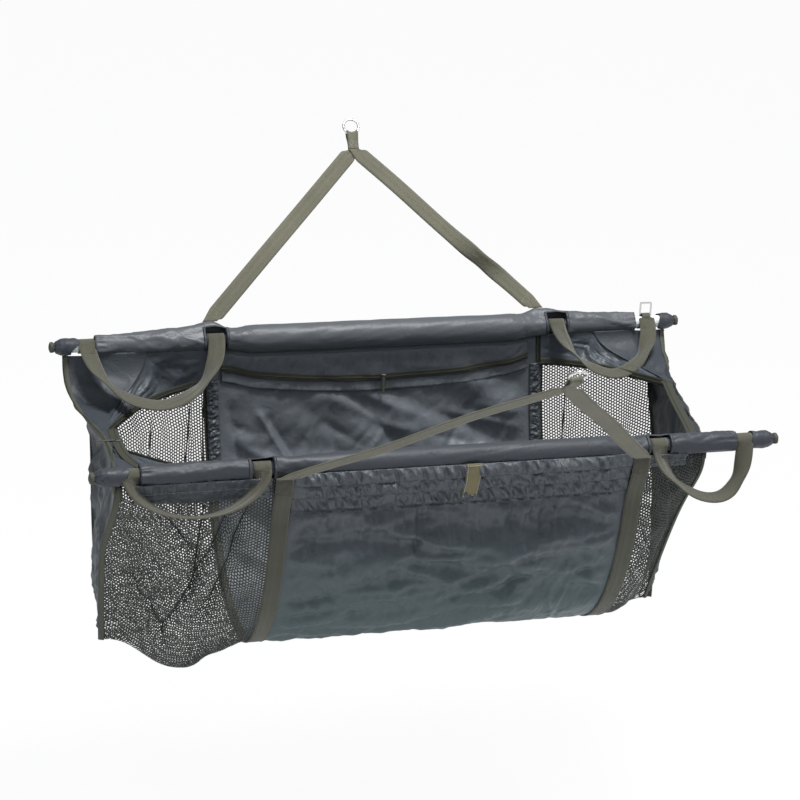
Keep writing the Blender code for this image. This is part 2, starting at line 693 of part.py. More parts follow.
def handle(name, line, end, inner_place, drop, slope, holder, threaded=False):
    """A carry handle: one strip wrapped round the pole at both ends, hanging in a loop."""
    fall = np.array([0, -math.cos(slope), -math.sin(slope)])
    face = np.array([0, -math.sin(slope), math.cos(slope)])
    along = np.array([1.0, 0, 0])
    axis = np.array([0, line.axis_y, line.axis_z])
    outer_x, inner_x = end * HANDLE_OUTER_PLACE, inner_place
    across = np.cross(face, fall)

    def wrapped(x, is_threaded):
        angle, radius, half = handle_wrap(slope, is_threaded)
        spoke = np.cos(angle)[:, None] * face - np.sin(angle)[:, None] * fall
        return axis + x * along + radius[:, None] * spoke, half[:, None] * across

    outer, outer_half = wrapped(outer_x, threaded)
    inner, inner_half = wrapped(inner_x, False)
    turn = np.linspace(0, math.pi, 17)
    order = 2 / 2.5
    x = (outer_x + inner_x) / 2
    x = x + (outer_x - inner_x) / 2 * np.sign(np.cos(turn)) * np.abs(np.cos(turn)) ** order
    hang = drop * np.sin(turn) ** order
    rest_radius = (POLE_RADIUS + FIT_GAP + WEBBING_THICKNESS / 2) / math.cos(HANDLE_WRAP / WRAP_STEPS / 2)
    strip = axis + x[:, None] * along + hang[:, None] * fall + rest_radius * face
    tangent = np.gradient(strip, axis=0)
    tangent[0], tangent[-1] = fall, -fall
    tangent /= np.linalg.norm(tangent, axis=1, keepdims=True)
    roll = (HANDLE_ROLL * np.sin(turn) ** 2)[:, None]
    half = np.cross(face, tangent) * np.cos(roll) - end * np.sin(roll) * face
    half *= WEBBING_WIDTH / 2
    centre = np.concatenate([outer, strip, inner[::-1]])
    halves = np.concatenate([outer_half, half, -inner_half[::-1]])
    return sheet(name, ribbon(centre, halves), WEBBING_THICKNESS, holder, WEBBING)


def rounded_outline(curve, width, low, high, corner):
    """A rounded rectangle as one closed spline of the curve."""
    spline = curve.splines.new("POLY")
    points = []
    for quarter, (sx, y) in enumerate(((1, high), (-1, high), (-1, low), (1, low))):
        centre_x = sx * (width / 2 - corner)
        centre_y = y - corner if y == high else y + corner
        for step in range(5):
            turn = (quarter + step / 4) * math.pi / 2
            points.append((centre_x + corner * math.cos(turn), centre_y + corner * math.sin(turn)))
    spline.points.add(len(points) - 1)
    for point, (px, py) in zip(spline.points, points):
        point.co = (px, py, 0, 1)
    spline.use_cyclic_u = True


def metal_loop(place, holder):
    """The plate with a hole that stands on the handle's strap, its lower bar under the strap."""
    curve = bpy.data.curves.new("pole_clip", "CURVE")
    curve.dimensions = "2D"
    curve.fill_mode = "BOTH"
    curve.extrude = LOOP_THICKNESS / 2
    low, high = -LOOP_BAR / 2, LOOP_HEIGHT - LOOP_BAR / 2
    rounded_outline(curve, LOOP_WIDTH, low, high, LOOP_BAR)
    rounded_outline(curve, LOOP_WIDTH - 2 * LOOP_BAR, low + LOOP_BAR, high - LOOP_BAR, LOOP_BAR / 3)
    made = bpy.data.objects.new("pole_clip", curve)
    made.rotation_euler = (math.radians(90), 0, 0)
    made.location = place
    return carried(made, holder, STEEL)


def band_path(x, share, lift):
    """A point of the gathered band, from its top on the sleeve to its foot on the wall."""
    radius = FRONT.radius(x)
    past = eased((share - BAND_TOP_SHARE) / (1 - BAND_TOP_SHARE))
    settled = WALL_CLOTH / 2 + (radius - WALL_CLOTH / 2) * (1 - past)
    z = FRONT.axis_z - radius / 4 - share * BAND_HEIGHT
    return np.stack([x, -HALF_MOUTH - settled - SEAM_GAP - lift, z], -1)


def gathered_band(holder):
    """The gathered band along the front, sewn in three channels."""
    reach = 1 - (WEBBING_WIDTH / 2 + 2 * SEAM_GAP) / STRAP_X
    x = FRONT.strap_place(np.linspace(-reach, reach, 31))[:, None]
    share = np.linspace(0, 1, 2 * BAND_CHANNELS + 1)[None, :]
    x, share = np.broadcast_arrays(x, share)
    channel = np.abs(np.sin(BAND_CHANNELS * math.pi * share)) * BAND_RIB
    gather = GATHER_SHARE * (np.arange(31) % 2)[:, None]
    points = band_path(x, share, BAND_CLOTH / 2 + channel * (CHANNEL_SHARE + gather))
    sheet("front_ruched_band", points, BAND_CLOTH, holder, NYLON)


def closing_tab(holder):
    """The hook-and-loop tab in the middle of the band."""
    share = np.linspace(-TAB_RISE_SHARE, TAB_HEIGHT / BAND_HEIGHT - TAB_RISE_SHARE, 8)[None, :]
    x = (TAB_PLACE + TAB_WIDTH * np.linspace(-0.5, 0.5, 4))[:, None]
    x, share = np.broadcast_arrays(x, share)
    clear = BAND_CLOTH + BAND_RIB * (CHANNEL_SHARE + GATHER_SHARE) + 2 * SEAM_GAP + TAB_THICKNESS / 2
    sheet("closure_tab", band_path(x, share, clear), TAB_THICKNESS, holder, HOOK_TAPE)


def rear_zip_depth(across):
    """How deep the zip inside the rear wall lies: it sags in the middle."""
    return ZIP_SIDE_SHARE + (ZIP_MIDDLE_SHARE - ZIP_SIDE_SHARE) * (1 - across**2)


def rear_lining(holder):
    """The facing and the zip tape inside the rear wall, and the gathered strips beside them."""
    across = np.linspace(-FACING_REACH_SHARE, FACING_REACH_SHARE, 17)[:, None]
    middle = rear_zip_depth(across)
    tape_half = ZIP_WIDTH / 2 / BAG_DEPTH
    foot = middle + tape_half + FACING_FOOT_SHARE
    depth = FACING_TOP_SHARE + (foot - FACING_TOP_SHARE) * np.linspace(0, 1, 4)[None, :]
    inset = WALL_CLOTH / 2 + LINING_SLACK + SEAM_GAP + FACING_CLOTH / 2
    facing = lifted(REAR, wall_surface(REAR, across, depth, WALL_CLOTH), -inset)
    sheet("rear_facing", facing, FACING_CLOTH, holder, NYLON)
    depth = middle + tape_half * np.linspace(-1, 1, 3)[None, :]
    inset += FACING_CLOTH / 2 + SEAM_GAP + ZIP_THICKNESS / 2
    tape = lifted(REAR, wall_surface(REAR, across, depth, WALL_CLOTH), -inset)
    sheet("rear_zip_tape", tape, ZIP_THICKNESS, holder, TAPE)
    half = RUCHE_WIDTH / 2 / STRAP_X
    for end, label in ((-1, "left"), (1, "right")):
        depth = np.linspace(RUCHE_TOP_SHARE, RUCHE_FOOT_SHARE, 9)
        across = end + half * np.linspace(-1, 1, 3)
        inset = WALL_CLOTH / 2 + LINING_SLACK + SEAM_GAP + RUCHE_THICKNESS / 2
        strip = lifted(REAR, grid_of(REAR, across, depth, WALL_CLOTH), -inset)
        sheet(f"ruched_strip_{label}", strip, RUCHE_THICKNESS, holder, NYLON)


def front_zip_tape(holder):
    """The zip tape along the inner side of the front sleeve."""
    reach = ZIP_SLEEVE_PLACE - ZIP_WIDTH - 2 * SEAM_GAP
    x = np.linspace(-reach, reach, 13)[:, None]
    drop = np.linspace(0, ZIP_WIDTH, 3)[None, :]
    x, drop = np.broadcast_arrays(x, drop)
    y = -HALF_MOUTH + FRONT.radius(x) + SEAM_GAP + ZIP_THICKNESS / 2
    points = np.stack([x, y, FRONT.axis_z - drop], -1)
    sheet("front_zip_tape", points, ZIP_THICKNESS, holder, TAPE)


def block(name, size, place, holder, look):
    """A small block with softened edges."""
    bpy.ops.mesh.primitive_cube_add(size=1, location=place)
    made = unlinked(bpy.context.object, name)
    made.data.transform(Matrix.Diagonal((*size, 1)))
    bevel = made.modifiers.new("edges", "BEVEL")
    bevel.width = min(size) / 4
    bevel.segments = 1
    return carried(made, holder, look)


def snap_button(holder):
    """The press stud on the front left pocket."""
    out = POCKET_RADIUS + SEAM_GAP + BUTTON_THICKNESS / 2
    bpy.ops.mesh.primitive_cylinder_add(
        vertices=ROUND_STEPS,
        radius=BUTTON_RADIUS,
        depth=BUTTON_THICKNESS,
        location=(POCKET_LENGTH * 2 / 3 - TIP, -HALF_MOUTH - out, FRONT.axis_z),
        rotation=(math.radians(90), 0, 0),
    )
    return carried(unlinked(bpy.context.object, "snap_button"), holder, BLACK)


def build():
    """Makes the whole sling."""
    clear_scene()
    root = bpy.data.objects.new("sling", None)
    collection_named("weigh_sling").objects.link(root)
    root.location = -REAR_RING
    pivots["sling"] = Vector()
    bag = body("bag", (0, 0, 0), root)
    front_side = body("front_side", SEAM_PIVOT, bag)
    holders = {REAR.name: bag, FRONT.name: front_side}

    for line in (REAR, FRONT):
        holder = holders[line.name]
        wall_panels(line, holder)
        pole_set(line, holder)
        for end, label in ((-1, "left"), (1, "right")):
            wall_strap(line, end, label, holder)
    rear_sleeve = sleeve(REAR, bag)
    front_sleeve = sleeve(FRONT, front_side)
    for end, label in ((-1, "left"), (1, "right")):
        end_cloth(end, label, bag)
    rear_lining(bag)
    front_zip_tape(front_side)
    gathered_band(front_side)
    closing_tab(front_side)
    snap_button(front_side)

    for line, foot, ring in ((REAR, REAR_FOOT, REAR_RING), (FRONT, FRONT_FOOT, FRONT_RING)):
        swing = body(f"{line.name}_hanger", foot, holders[line.name])
        hanger(line, foot, ring, swing)
        up, _, _ = hanger_frame(foot, ring)
        ring_body = body(f"{line.name}_ring_swing", ring - up * RING_RADIUS, swing)
        hook_ring(line, foot, ring, ring_body)

    rear_left = REAR.strap_place(-1) - REAR_LEFT_INSET
    rear_right = REAR.strap_place(1) + REAR_RIGHT_INSET
    front_left = FRONT.strap_place(-1) - FRONT_HANDLE_INSET
    front_right = FRONT.strap_place(1) + FRONT_HANDLE_INSET
    handles = (
        ("rear_handle_left", REAR, -1, rear_left, REAR_LEFT_DROP, REAR_HANDLE_SLOPE, rear_sleeve),
        ("rear_handle_right", REAR, 1, rear_right, REAR_RIGHT_DROP, REAR_HANDLE_SLOPE, rear_sleeve),
        ("front_handle_left", FRONT, -1, front_left, FRONT_LEFT_DROP, FRONT_HANDLE_SLOPE, front_sleeve),
        ("front_handle_right", FRONT, 1, front_right, FRONT_RIGHT_DROP, FRONT_HANDLE_SLOPE, front_sleeve),
    )
    for name, line, end, inner_place, drop, slope, tube in handles:
        middle = (inner_place + end * HANDLE_OUTER_PLACE) / 2
        swing = body(f"{name}_swing", line.point(middle, 0, 0), holders[line.name])
        threaded = name == "rear_handle_right"
        handle(name, line, end, inner_place, drop, slope, swing, threaded)
        cut_window(line, tube, inner_place, holders[line.name])
        if threaded:
            at_bar = line.point(end * HANDLE_OUTER_PLACE, bar_radius(), math.pi / 2)
            metal_loop(at_bar, body("clip_swing", at_bar, swing))

    zip_sliders(bag)


def zip_sliders(bag):
    """The slider and pull inside the rear wall, and those where the zips meet at the left."""
    across = (REAR_SLIDER_PLACE - REAR.strap_shift) / STRAP_X
    depth = rear_zip_depth(across)
    inset = WALL_CLOTH / 2 + LINING_SLACK + 2 * SEAM_GAP + FACING_CLOTH + ZIP_THICKNESS
    at_tape = wall_surface(REAR, across, depth, WALL_CLOTH)
    face = at_tape[1] - inset - SEAM_GAP
    place = Vector((REAR_SLIDER_PLACE, face - SLIDER_THICKNESS / 2, at_tape[2]))
    slide = body("rear_zip_slide", place, bag)
    size = (SLIDER_WIDTH, SLIDER_THICKNESS, SLIDER_HEIGHT)
    block("rear_zip_slider", size, place, slide, BLACK)
    top = Vector((place.x, face - SLIDER_THICKNESS - SEAM_GAP - PULL_THICKNESS / 2, place.z))
    swing = body("rear_pull_swing", top, slide)
    middle = top - Vector((0, 0, PULL_LENGTH / 2))
    block("rear_zip_pull", (PULL_WIDTH, PULL_THICKNESS, PULL_LENGTH), middle, swing, WEBBING)

    lift = ZIP_THICKNESS / 2 + SEAM_GAP
    x = SEAM_GAP + ZIP_WIDTH / 2 - ZIP_MEETING_PLACE
    place = Vector((x, 0, lift + SLIDER_THICKNESS / 2 - MOUTH_LEVEL))
    slide = body("left_zip_slide", place, bag)
    block("left_zip_slider", (SLIDER_WIDTH, SLIDER_HEIGHT, SLIDER_THICKNESS), place, slide, BLACK)
    start = place - Vector((SLIDER_WIDTH / 2 + SEAM_GAP + PULL_THICKNESS / 2, 0, 0))
    swing = body("left_pull_swing", start, slide)
    middle = start - Vector(((PULL_LENGTH - PULL_THICKNESS) / 2, 0, 0))
    block("left_zip_pull", (PULL_LENGTH, PULL_WIDTH, PULL_THICKNESS), middle, swing, WEBBING)


if __name__ == "__main__":
    build()
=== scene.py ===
"""Dresses the weigh sling: creased cloth, net, webbing, rings, zips and stitching over its frame.

Shapes are worked out in the sling's own coordinates, measured from the middle of the rear pole's
axis, and moved to the frame's origin, the rear ring, when a mesh is made. Sizes are in metres.
"""

import logging
import math
from dataclasses import dataclass
from enum import Enum
from functools import wraps
from typing import Any, Callable, Sequence

import bpy
import numpy as np
from mathutils import Matrix, Vector


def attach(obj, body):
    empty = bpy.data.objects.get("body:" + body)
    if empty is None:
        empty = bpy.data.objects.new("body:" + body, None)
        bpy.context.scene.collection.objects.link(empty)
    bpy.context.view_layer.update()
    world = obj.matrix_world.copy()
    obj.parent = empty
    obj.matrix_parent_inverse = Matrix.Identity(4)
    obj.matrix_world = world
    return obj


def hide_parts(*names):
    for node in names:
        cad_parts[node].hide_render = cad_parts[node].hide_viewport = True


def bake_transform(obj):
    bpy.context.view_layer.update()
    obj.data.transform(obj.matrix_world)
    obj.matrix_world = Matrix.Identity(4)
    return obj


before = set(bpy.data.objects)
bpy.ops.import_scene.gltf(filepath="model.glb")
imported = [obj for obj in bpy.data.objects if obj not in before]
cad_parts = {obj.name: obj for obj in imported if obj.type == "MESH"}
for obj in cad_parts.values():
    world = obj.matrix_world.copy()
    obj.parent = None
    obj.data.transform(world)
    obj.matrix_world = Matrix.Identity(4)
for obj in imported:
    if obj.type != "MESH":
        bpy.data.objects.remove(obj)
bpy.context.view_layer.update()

LOG = logging.getLogger("weigh_sling")
SLING_PLACE = np.array([0.0, -0.462, -0.338])
TAU = math.tau
Array = np.ndarray
Socket = bpy.types.NodeSocket
ALONG, REARWARD, UP = np.eye(3)
FORWARD = -REARWARD
BOTH_ENDS = ((-1, "left"), (1, "right"))
NOISE_CELLS = 64
WALL_CLOTH = 0.0016
NET_CLOTH = 0.0006
HEM_CLOTH = 0.0009
THIN_CLOTH = 0.0010


# Numbers that shape whole arrays


def eased(value: Any) -> Array:
    """A smooth step: 3 t squared less 2 t cubed, for t held between 0 and 1."""
    value = np.clip(value, 0.0, 1.0)
    return value * value * (3 - 2 * value)


def unit(vectors: Array) -> Array:
    """Vectors divided by their own lengths."""
    return vectors / np.maximum(np.linalg.norm(vectors, axis=-1, keepdims=True), 1e-12)


def noise(u: Any, v: Any, seed: int) -> Array:
    """Gradient noise on a lattice.

    Each lattice corner has a random direction. A point's value is the dot product of its offset
    from each corner with that corner's direction, faded between the four corners.

    Args:
        u: First coordinate, in lattice cells.
        v: Second coordinate, in lattice cells.
        seed: Chooses the directions.

    Returns:
        Values from about -1 to 1.
    """
    angles = np.random.default_rng(seed).uniform(0, TAU, (NOISE_CELLS, NOISE_CELLS))
    cell_u, cell_v = np.floor(u).astype(int), np.floor(v).astype(int)
    past_u, past_v = u - cell_u, v - cell_v

    def corner(step_u: int, step_v: int) -> Array:
        """The part of one corner."""
        turn = angles[(cell_u + step_u) % NOISE_CELLS, (cell_v + step_v) % NOISE_CELLS]
        return np.cos(turn) * (past_u - step_u) + np.sin(turn) * (past_v - step_v)

    fade_u = past_u**3 * (past_u * (past_u * 6 - 15) + 10)
    fade_v = past_v**3 * (past_v * (past_v * 6 - 15) + 10)
    near = corner(0, 0) * (1 - fade_u) + corner(1, 0) * fade_u
    far = corner(0, 1) * (1 - fade_u) + corner(1, 1) * fade_u
    return 1.5 * (near * (1 - fade_v) + far * fade_v)


@dataclass(frozen=True)
class Crumple:
    """Creased cloth as ridged noise of several sizes, the largest first."""

    size: float
    height: float
    seed: int
    stretch: float = 1.0
    octaves: int = 4
    sharp: float = 0.06
    lean: float = 0.5
    fade: float = 0.43
    shrink: float = 0.52
    warp: tuple[float, float] = (0.55, -0.45)
    middle: float = 0.68

    def at(self, u: Array, v: Array) -> Array:
        """Sum over the sizes of height times (ridge or hollow of warped noise).

        A ridge is 1 less the root of n squared plus sharp squared, so that it has a crest where
        the noise n crosses zero. Every second size is a hollow, the same with its sign turned.

        Args:
            u: Places along the cloth, in metres.
            v: Places down the cloth, in metres.

        Returns:
            Heights in metres, about 0 on average.
        """
        total = np.zeros(np.broadcast(u, v).shape)
        for level in range(self.octaves):
            size = self.size * self.shrink**level
            turn = self.lean + 0.5 * level * (-1) ** level
            cos, sin = math.cos(turn), math.sin(turn)
            a = (u * cos + v * sin) / (size * self.stretch)
            b = (v * cos - u * sin) / size
            shift = noise(a * 0.7 + 9.1, b * 0.7 + 3.7, self.seed + 31 * level + 7)
            value = noise(a + self.warp[0] * shift, b + self.warp[1] * shift, self.seed + 31 * level)
            ridge = 1 - np.sqrt(value * value + self.sharp**2) - self.middle
            total = total + self.height * self.fade**level * (ridge if level % 2 == 0 else -ridge) * 2
        return total


@dataclass(frozen=True)
class Fold:
    """A straight crease between two places on a wall, each a place across and a depth."""

    start: tuple[float, float]
    end: tuple[float, float]
    width: float
    height: float


# Sizes and forms of the sling


@dataclass(frozen=True)
class SlingSizes:
    """The sizes that the pieces share."""

    sling_length: float = 1.196
    mouth_width: float = 0.480
    front_drop: float = 0.066
    bag_depth: float = 0.452
    seam_setback: float = 0.220
    fit_gap: float = 0.0003
    seam_gap: float = 0.0004
    pole_radius: float = 0.0110
    foam_length: float = 0.480
    cloth: float = 0.0012
    sleeve_end_radius: float = 0.0170
    swell_length: float = 0.060
    sleeve_length: float = 1.016
    peak_reach: float = 0.0340
    peak_lean: float = math.radians(22.5)
    window_length: float = 0.0370
    pocket_length: float = 0.0380
    pocket_radius: float = 0.0150
    float_cover: float = 0.0023
    webbing_width: float = 0.0300
    webbing_thickness: float = 0.0016
    strap_span: float = 0.622
    wall_cloth: float = WALL_CLOTH
    mesh_cloth: float = 0.0012
    centre_order: float = 2.45
    end_order: float = 0.95
    end_order_rise: float = 0.80
    end_top: float = 0.575
    left_end_foot: float = 0.545
    right_end_foot: float = 0.478
    left_belly: float = 0.060
    right_belly: float = 0.012
    gusset_bulge: float = 0.004
    mouth_level: float = 0.095
    deck_slope: float = math.radians(35)
    zip_meeting_place: float = 0.520
    zip_sleeve_place: float = 0.425
    zip_width: float = 0.0140
    handle_outer_place: float = 0.532
    foot_reach: float = 0.0270
    front_pull: float = math.radians(25)

    @property
    def half_mouth(self) -> float:
        """Half the distance between the poles."""
        return self.mouth_width / 2

    @property
    def seam_y(self) -> float:
        """Where the seam under the sling lies between the poles."""
        return self.seam_setback - self.half_mouth

    @property
    def end_lap(self) -> float:
        """How far an end cloth lies outside the walls' edges."""
        return self.wall_cloth + 3 * self.seam_gap

    @property
    def bay_length(self) -> float:
        """How far a net bay runs along the sling at its top."""
        return self.end_top - self.strap_span / 2

    @property
    def wrap_radius(self) -> float:
        """How far the middle of a handle's webbing lies from the pole's axis."""
        return self.pole_radius + self.fit_gap + self.webbing_thickness / 2


SIZES = SlingSizes()


class Carrier(Enum):
    """What a piece moves with."""

    BAG = "bag"
    FRONT = "front_side"
    ENDS = "between the two sides"
    REAR_HANGER = "rear_hanger"
    FRONT_HANGER = "front_hanger"
    REAR_RING = "rear_ring"
    FRONT_RING = "front_ring"
    REAR_LEFT = "rear_handle_left"
    REAR_RIGHT = "rear_handle_right"
    FRONT_LEFT = "front_handle_left"
    FRONT_RIGHT = "front_handle_right"


@dataclass(frozen=True)
class PoleLine:
    """One long side of the sling: its pole's axis, its float, its straps and its wall."""

    name: str
    side: int
    axis_z: float
    foam_radius: float
    foam_shift: float
    strap_shift: float
    carrier: Carrier
    pulls: tuple[tuple[float, float, float], tuple[float, float, float]]

    @property
    def axis_y(self) -> float:
        """The pole axis's place towards the rear."""
        return self.side * SIZES.half_mouth

    def radius(self, x: Any) -> Array:
        """The sleeve's outer radius, which swells over the float, at places along the sling."""
        s = SIZES
        past = np.abs(np.asarray(x, float) - self.foam_shift) - s.foam_length / 2
        middle = self.foam_radius + s.float_cover
        return s.sleeve_end_radius + (middle - s.sleeve_end_radius) * eased(1 - past / s.swell_length)

    def strap_place(self, end: Any, depth: Any = 0.0) -> Any:
        """Where the strap at this end lies along the sling, at a depth down the wall."""
        mean = 0.0175
        return end * SIZES.strap_span / 2 + self.strap_shift + (mean - self.strap_shift) * depth

    def pull(self, across: Any, depth: Any) -> Any:
        """How far the bay's end is drawn in.

        A reach at the top that dies out at a depth, plus a waist that is 0 at the top and
        largest a fifth of the way down, as t times e to the power of 1 less t.
        """
        t = np.asarray(depth, float) / 0.2
        left, right = (top * np.clip(1 - depth / fade, 0, 1) + waist * t * np.exp(1 - t)
                       for top, fade, waist in self.pulls)
        return np.where(np.asarray(across) < 0, left, right)

    def wall(self, across: Any, depth: Any, cloth: float = WALL_CLOTH) -> Array:
        """The middle of the wall's cloth.

        Down the wall the distance from the seam's plane is (1 - depth to the power n) to the
        power 1/n, a superellipse whose order n falls towards the ends.

        Args:
            across: From -2 at the left end to 2 at the right, with the straps at -1 and 1.
            depth: From 0 at the sleeve to 1 at the seam under the sling.
            cloth: Thickness of the cloth.

        Returns:
            Points, one for each pair of places.
        """
        s = SIZES
        across, depth = np.broadcast_arrays(np.asarray(across, float), np.asarray(depth, float))
        bay = np.clip(np.abs(across) - 1, 0, 1)
        ease = eased(bay)
        strap = self.strap_place(np.clip(across, -1, 1), depth)
        foot = np.where(across < 0, s.left_end_foot, s.right_end_foot)
        end = np.sign(across) * (s.end_top + (foot - s.end_top) * depth - self.pull(across, depth))
        x = strap + bay * (end - strap)
        end_order = s.end_order + s.end_order_rise * (1 - depth) ** 8
        order = s.centre_order + (end_order - s.centre_order) * ease
        out = np.clip(1 - depth**order, 0, 1) ** (1 / order)
        apart = s.seam_gap / 2 + (cloth - s.seam_gap / 2) * ease
        y = s.seam_y + self.side * (apart + (abs(self.axis_y - s.seam_y) - apart) * out)
        belly = np.where(across < 0, s.left_belly, s.right_belly)
        belly = belly * np.sin(math.pi * bay) ** 2.6 * depth**2
        top = self.axis_z - self.radius(x) - s.seam_gap - cloth / 2
        return np.stack([x, y, top - (s.bag_depth + top) * depth - belly], -1)


REAR = PoleLine("rear", 1, 0.0, 0.0222, 0.018, 0.005, Carrier.BAG,
                ((0.004, 0.3, 0.036), (0.006, 0.4, 0.018)))
FRONT = PoleLine("front", -1, -SIZES.front_drop, 0.0180, 0.030, 0.030, Carrier.FRONT,
                 ((0.024, 0.4, 0.0), (0.112, 1.10, 0.0)))


def steps_down(count: int) -> Array:
    """Depths down a wall, closer together where the wall turns under the sling."""
    return np.sin(np.linspace(0, math.pi / 2, count)) ** (2 / SIZES.centre_order)


# Meshes from grids of points


def arc_lengths(points: Array, axis: int) -> Array:
    """Distances along the grid's lines on one axis, from their first points."""
    steps = np.linalg.norm(np.diff(points, axis=axis), axis=-1)
    start = np.zeros_like(np.take(steps, [0], axis=axis))
    return np.concatenate([start, np.cumsum(steps, axis=axis)], axis=axis)


def linked(name: str, data: bpy.types.ID) -> bpy.types.Object:
    """An object that holds this data, linked to the scene."""
    obj = bpy.data.objects.new(name, data)
    bpy.context.scene.collection.objects.link(obj)
    return obj


def mesh_object(name: str, points: Array, faces: Array) -> bpy.types.Object:
    """A smooth mesh object at the origin, its points moved to the frame's coordinates."""
    mesh = bpy.data.meshes.new(name)
    mesh.from_pydata((points + SLING_PLACE).tolist(), [], faces.tolist())
    mesh.shade_smooth()
    mesh.update()
    return linked(name, mesh)


def grid_object(
    name: str,
    points: Array,
    thickness: float,
    ring: bool = False,
    keep: Array | None = None,
) -> bpy.types.Object:
    """A mesh object from a grid of points, with its own lengths as its UV map.

    Args:
        name: The piece's name.
        points: Rows by columns of points, in the sling's coordinates.
        thickness: Thickness that Solidify gives the sheet, or 0 for none.
        ring: Whether the last column joins the first.
        keep: Which quads are kept, or None for all.

    Returns:
        The object, at the origin.
    """
    rows, columns = points.shape[:2]
    last = columns if ring else columns - 1
    row, column = np.meshgrid(np.arange(rows - 1), np.arange(last), indexing="ij")
    if keep is not None:
        row, column = row[keep], column[keep]
    row, column = row.ravel(), column.ravel()

    def quads(width: int) -> Array:
        """The corners' numbers of each quad, in a grid this many columns wide."""
        start, after = row * width, (column + 1) % width
        return np.stack([start + column, start + width + column, start + width + after,
                         start + after], -1)

    wide = np.concatenate([points, points[:, :1]], axis=1) if ring else points
    uv = np.stack([arc_lengths(wide, 0), arc_lengths(wide, 1)], -1).reshape(-1, 2)
    obj = mesh_object(name, points.reshape(-1, 3), quads(columns))
    layer = obj.data.uv_layers.new(name="UVMap")
    layer.data.foreach_set("uv", uv[quads(wide.shape[1]).ravel()].astype(np.float32).ravel())
    if thickness:
        solid = obj.modifiers.new("thickness", "SOLIDIFY")
        solid.thickness = thickness
        solid.offset = 0.0
    return obj


def closed_object(name: str, points: Array, faces: Array) -> bpy.types.Object:
    """A closed mesh object whose faces point outwards.

    The sum of the tetrahedra from the origin to each face is its volume, and where that is
    below 0 every face is turned round.

    Args:
        name: The piece's name.
        points: Its vertices, in the sling's coordinates.
        faces: Its faces, as rows of vertex numbers of one length.

    Returns:
        The object, at the origin.
    """
    a, b, c = points[faces[:, 0]], points[faces[:, 1]], points[faces[:, 2]]
    volume = np.einsum("ij,ij->i", a, np.cross(b, c)).sum()
    if faces.shape[1] == 4:
        d = points[faces[:, 3]]
        volume += np.einsum("ij,ij->i", a, np.cross(c, d)).sum()
    if volume < 0:
        faces = faces[:, ::-1]
    return mesh_object(name, points, faces)


def surface_normals(points: Array) -> Array:
    """Unit normals of a grid: the cross product of its gradients along rows and columns."""
    return unit(np.cross(np.gradient(points, axis=0), np.gradient(points, axis=1)))


def ribbon(centre: Array, halves: Array, count: int = 5) -> Array:
    """A strip's grid: each point of its middle line plus shares, from -1 to 1, of its half width."""
    share = np.linspace(-1, 1, count)[None, :, None]
    return centre[:, None, :] + halves[:, None, :] * share


def resampled(path: Array, spacing: float) -> Array:
    """Points at equal distances along a path."""
    along = arc_lengths(path, 0)
    count = max(2, int(round(along[-1] / spacing)) + 1)
    places = np.linspace(0, along[-1], count)
    return np.stack([np.interp(places, along, path[:, axis]) for axis in range(3)], -1)


# Shader node groups and finishes


Sockets = dict[str, Socket]
Fill = Callable[["Graph", Sockets], Sockets]
CREASE_SIZES = ((1.0, 1.0), (2.3, 0.45))
CROSS_RATE = 1.5
HALF_ROOT_THREE = 0.866


class Graph:
    """Adds nodes to one tree and links them as they are made."""

    def __init__(self, tree: bpy.types.NodeTree) -> None:
        """Takes the tree."""
        self.tree = tree

    def feed(self, node: bpy.types.Node, feeds: dict[Any, Any]) -> None:
        """Links sockets to a node's inputs, and writes values into them."""
        for key, value in feeds.items():
            if isinstance(value, Socket):
                self.tree.links.new(value, node.inputs[key])
            else:
                node.inputs[key].default_value = value

    def node(self, kind: str, feeds: dict[Any, Any] | None = None, **settings: Any) -> bpy.types.Node:
        """Makes a node.

        Args:
            kind: Blender's name for the node.
            feeds: Values or sockets for its inputs.
            **settings: Its other settings.

        Returns:
            The node.
        """
        made = self.tree.nodes.new(kind)
        for key, value in settings.items():
            setattr(made, key, value)
        self.feed(made, feeds or {})
        return made

    def math(self, operation: str, first: Any, second: Any = 0.0) -> Socket:
        """The result of one Math node."""
        return self.node("ShaderNodeMath", {0: first, 1: second}, operation=operation).outputs[0]

    def mixed(self, share: Any, first: Any, second: Any, how: str = "MIX") -> Socket:
        """The result of a colour Mix node."""
        return self.node("ShaderNodeMix", {0: share, 6: first, 7: second}, data_type="RGBA",
                         blend_type=how).outputs[2]

    def grouped(self, group: bpy.types.NodeTree, feeds: dict[str, Any]) -> bpy.types.Node:
        """A node that holds a group."""
        return self.node("ShaderNodeGroup", feeds, node_tree=group)

    def ranged(self, value: Any, low: float, high: float, first: float, second: float,
               how: str = "LINEAR") -> Socket:
        """The result of a Map Range node, from low and high to first and second."""
        return self.node("ShaderNodeMapRange", {0: value, 1: low, 2: high, 3: first, 4: second},
                         interpolation_type=how).outputs[0]

    def bump(self, height: Any, strength: float, distance: float) -> Socket:
        """The normals of a Bump node."""
        return self.node("ShaderNodeBump", {"Height": height, "Strength": strength,
                                            "Distance": distance}).outputs[0]

    def seen(self) -> Socket:
        """1 for rays from the eye, straight or through something clear, and 0 for all others."""
        path = self.node("ShaderNodeLightPath")
        return self.math("MAXIMUM", path.outputs["Is Camera Ray"], path.outputs["Is Transmission Ray"])


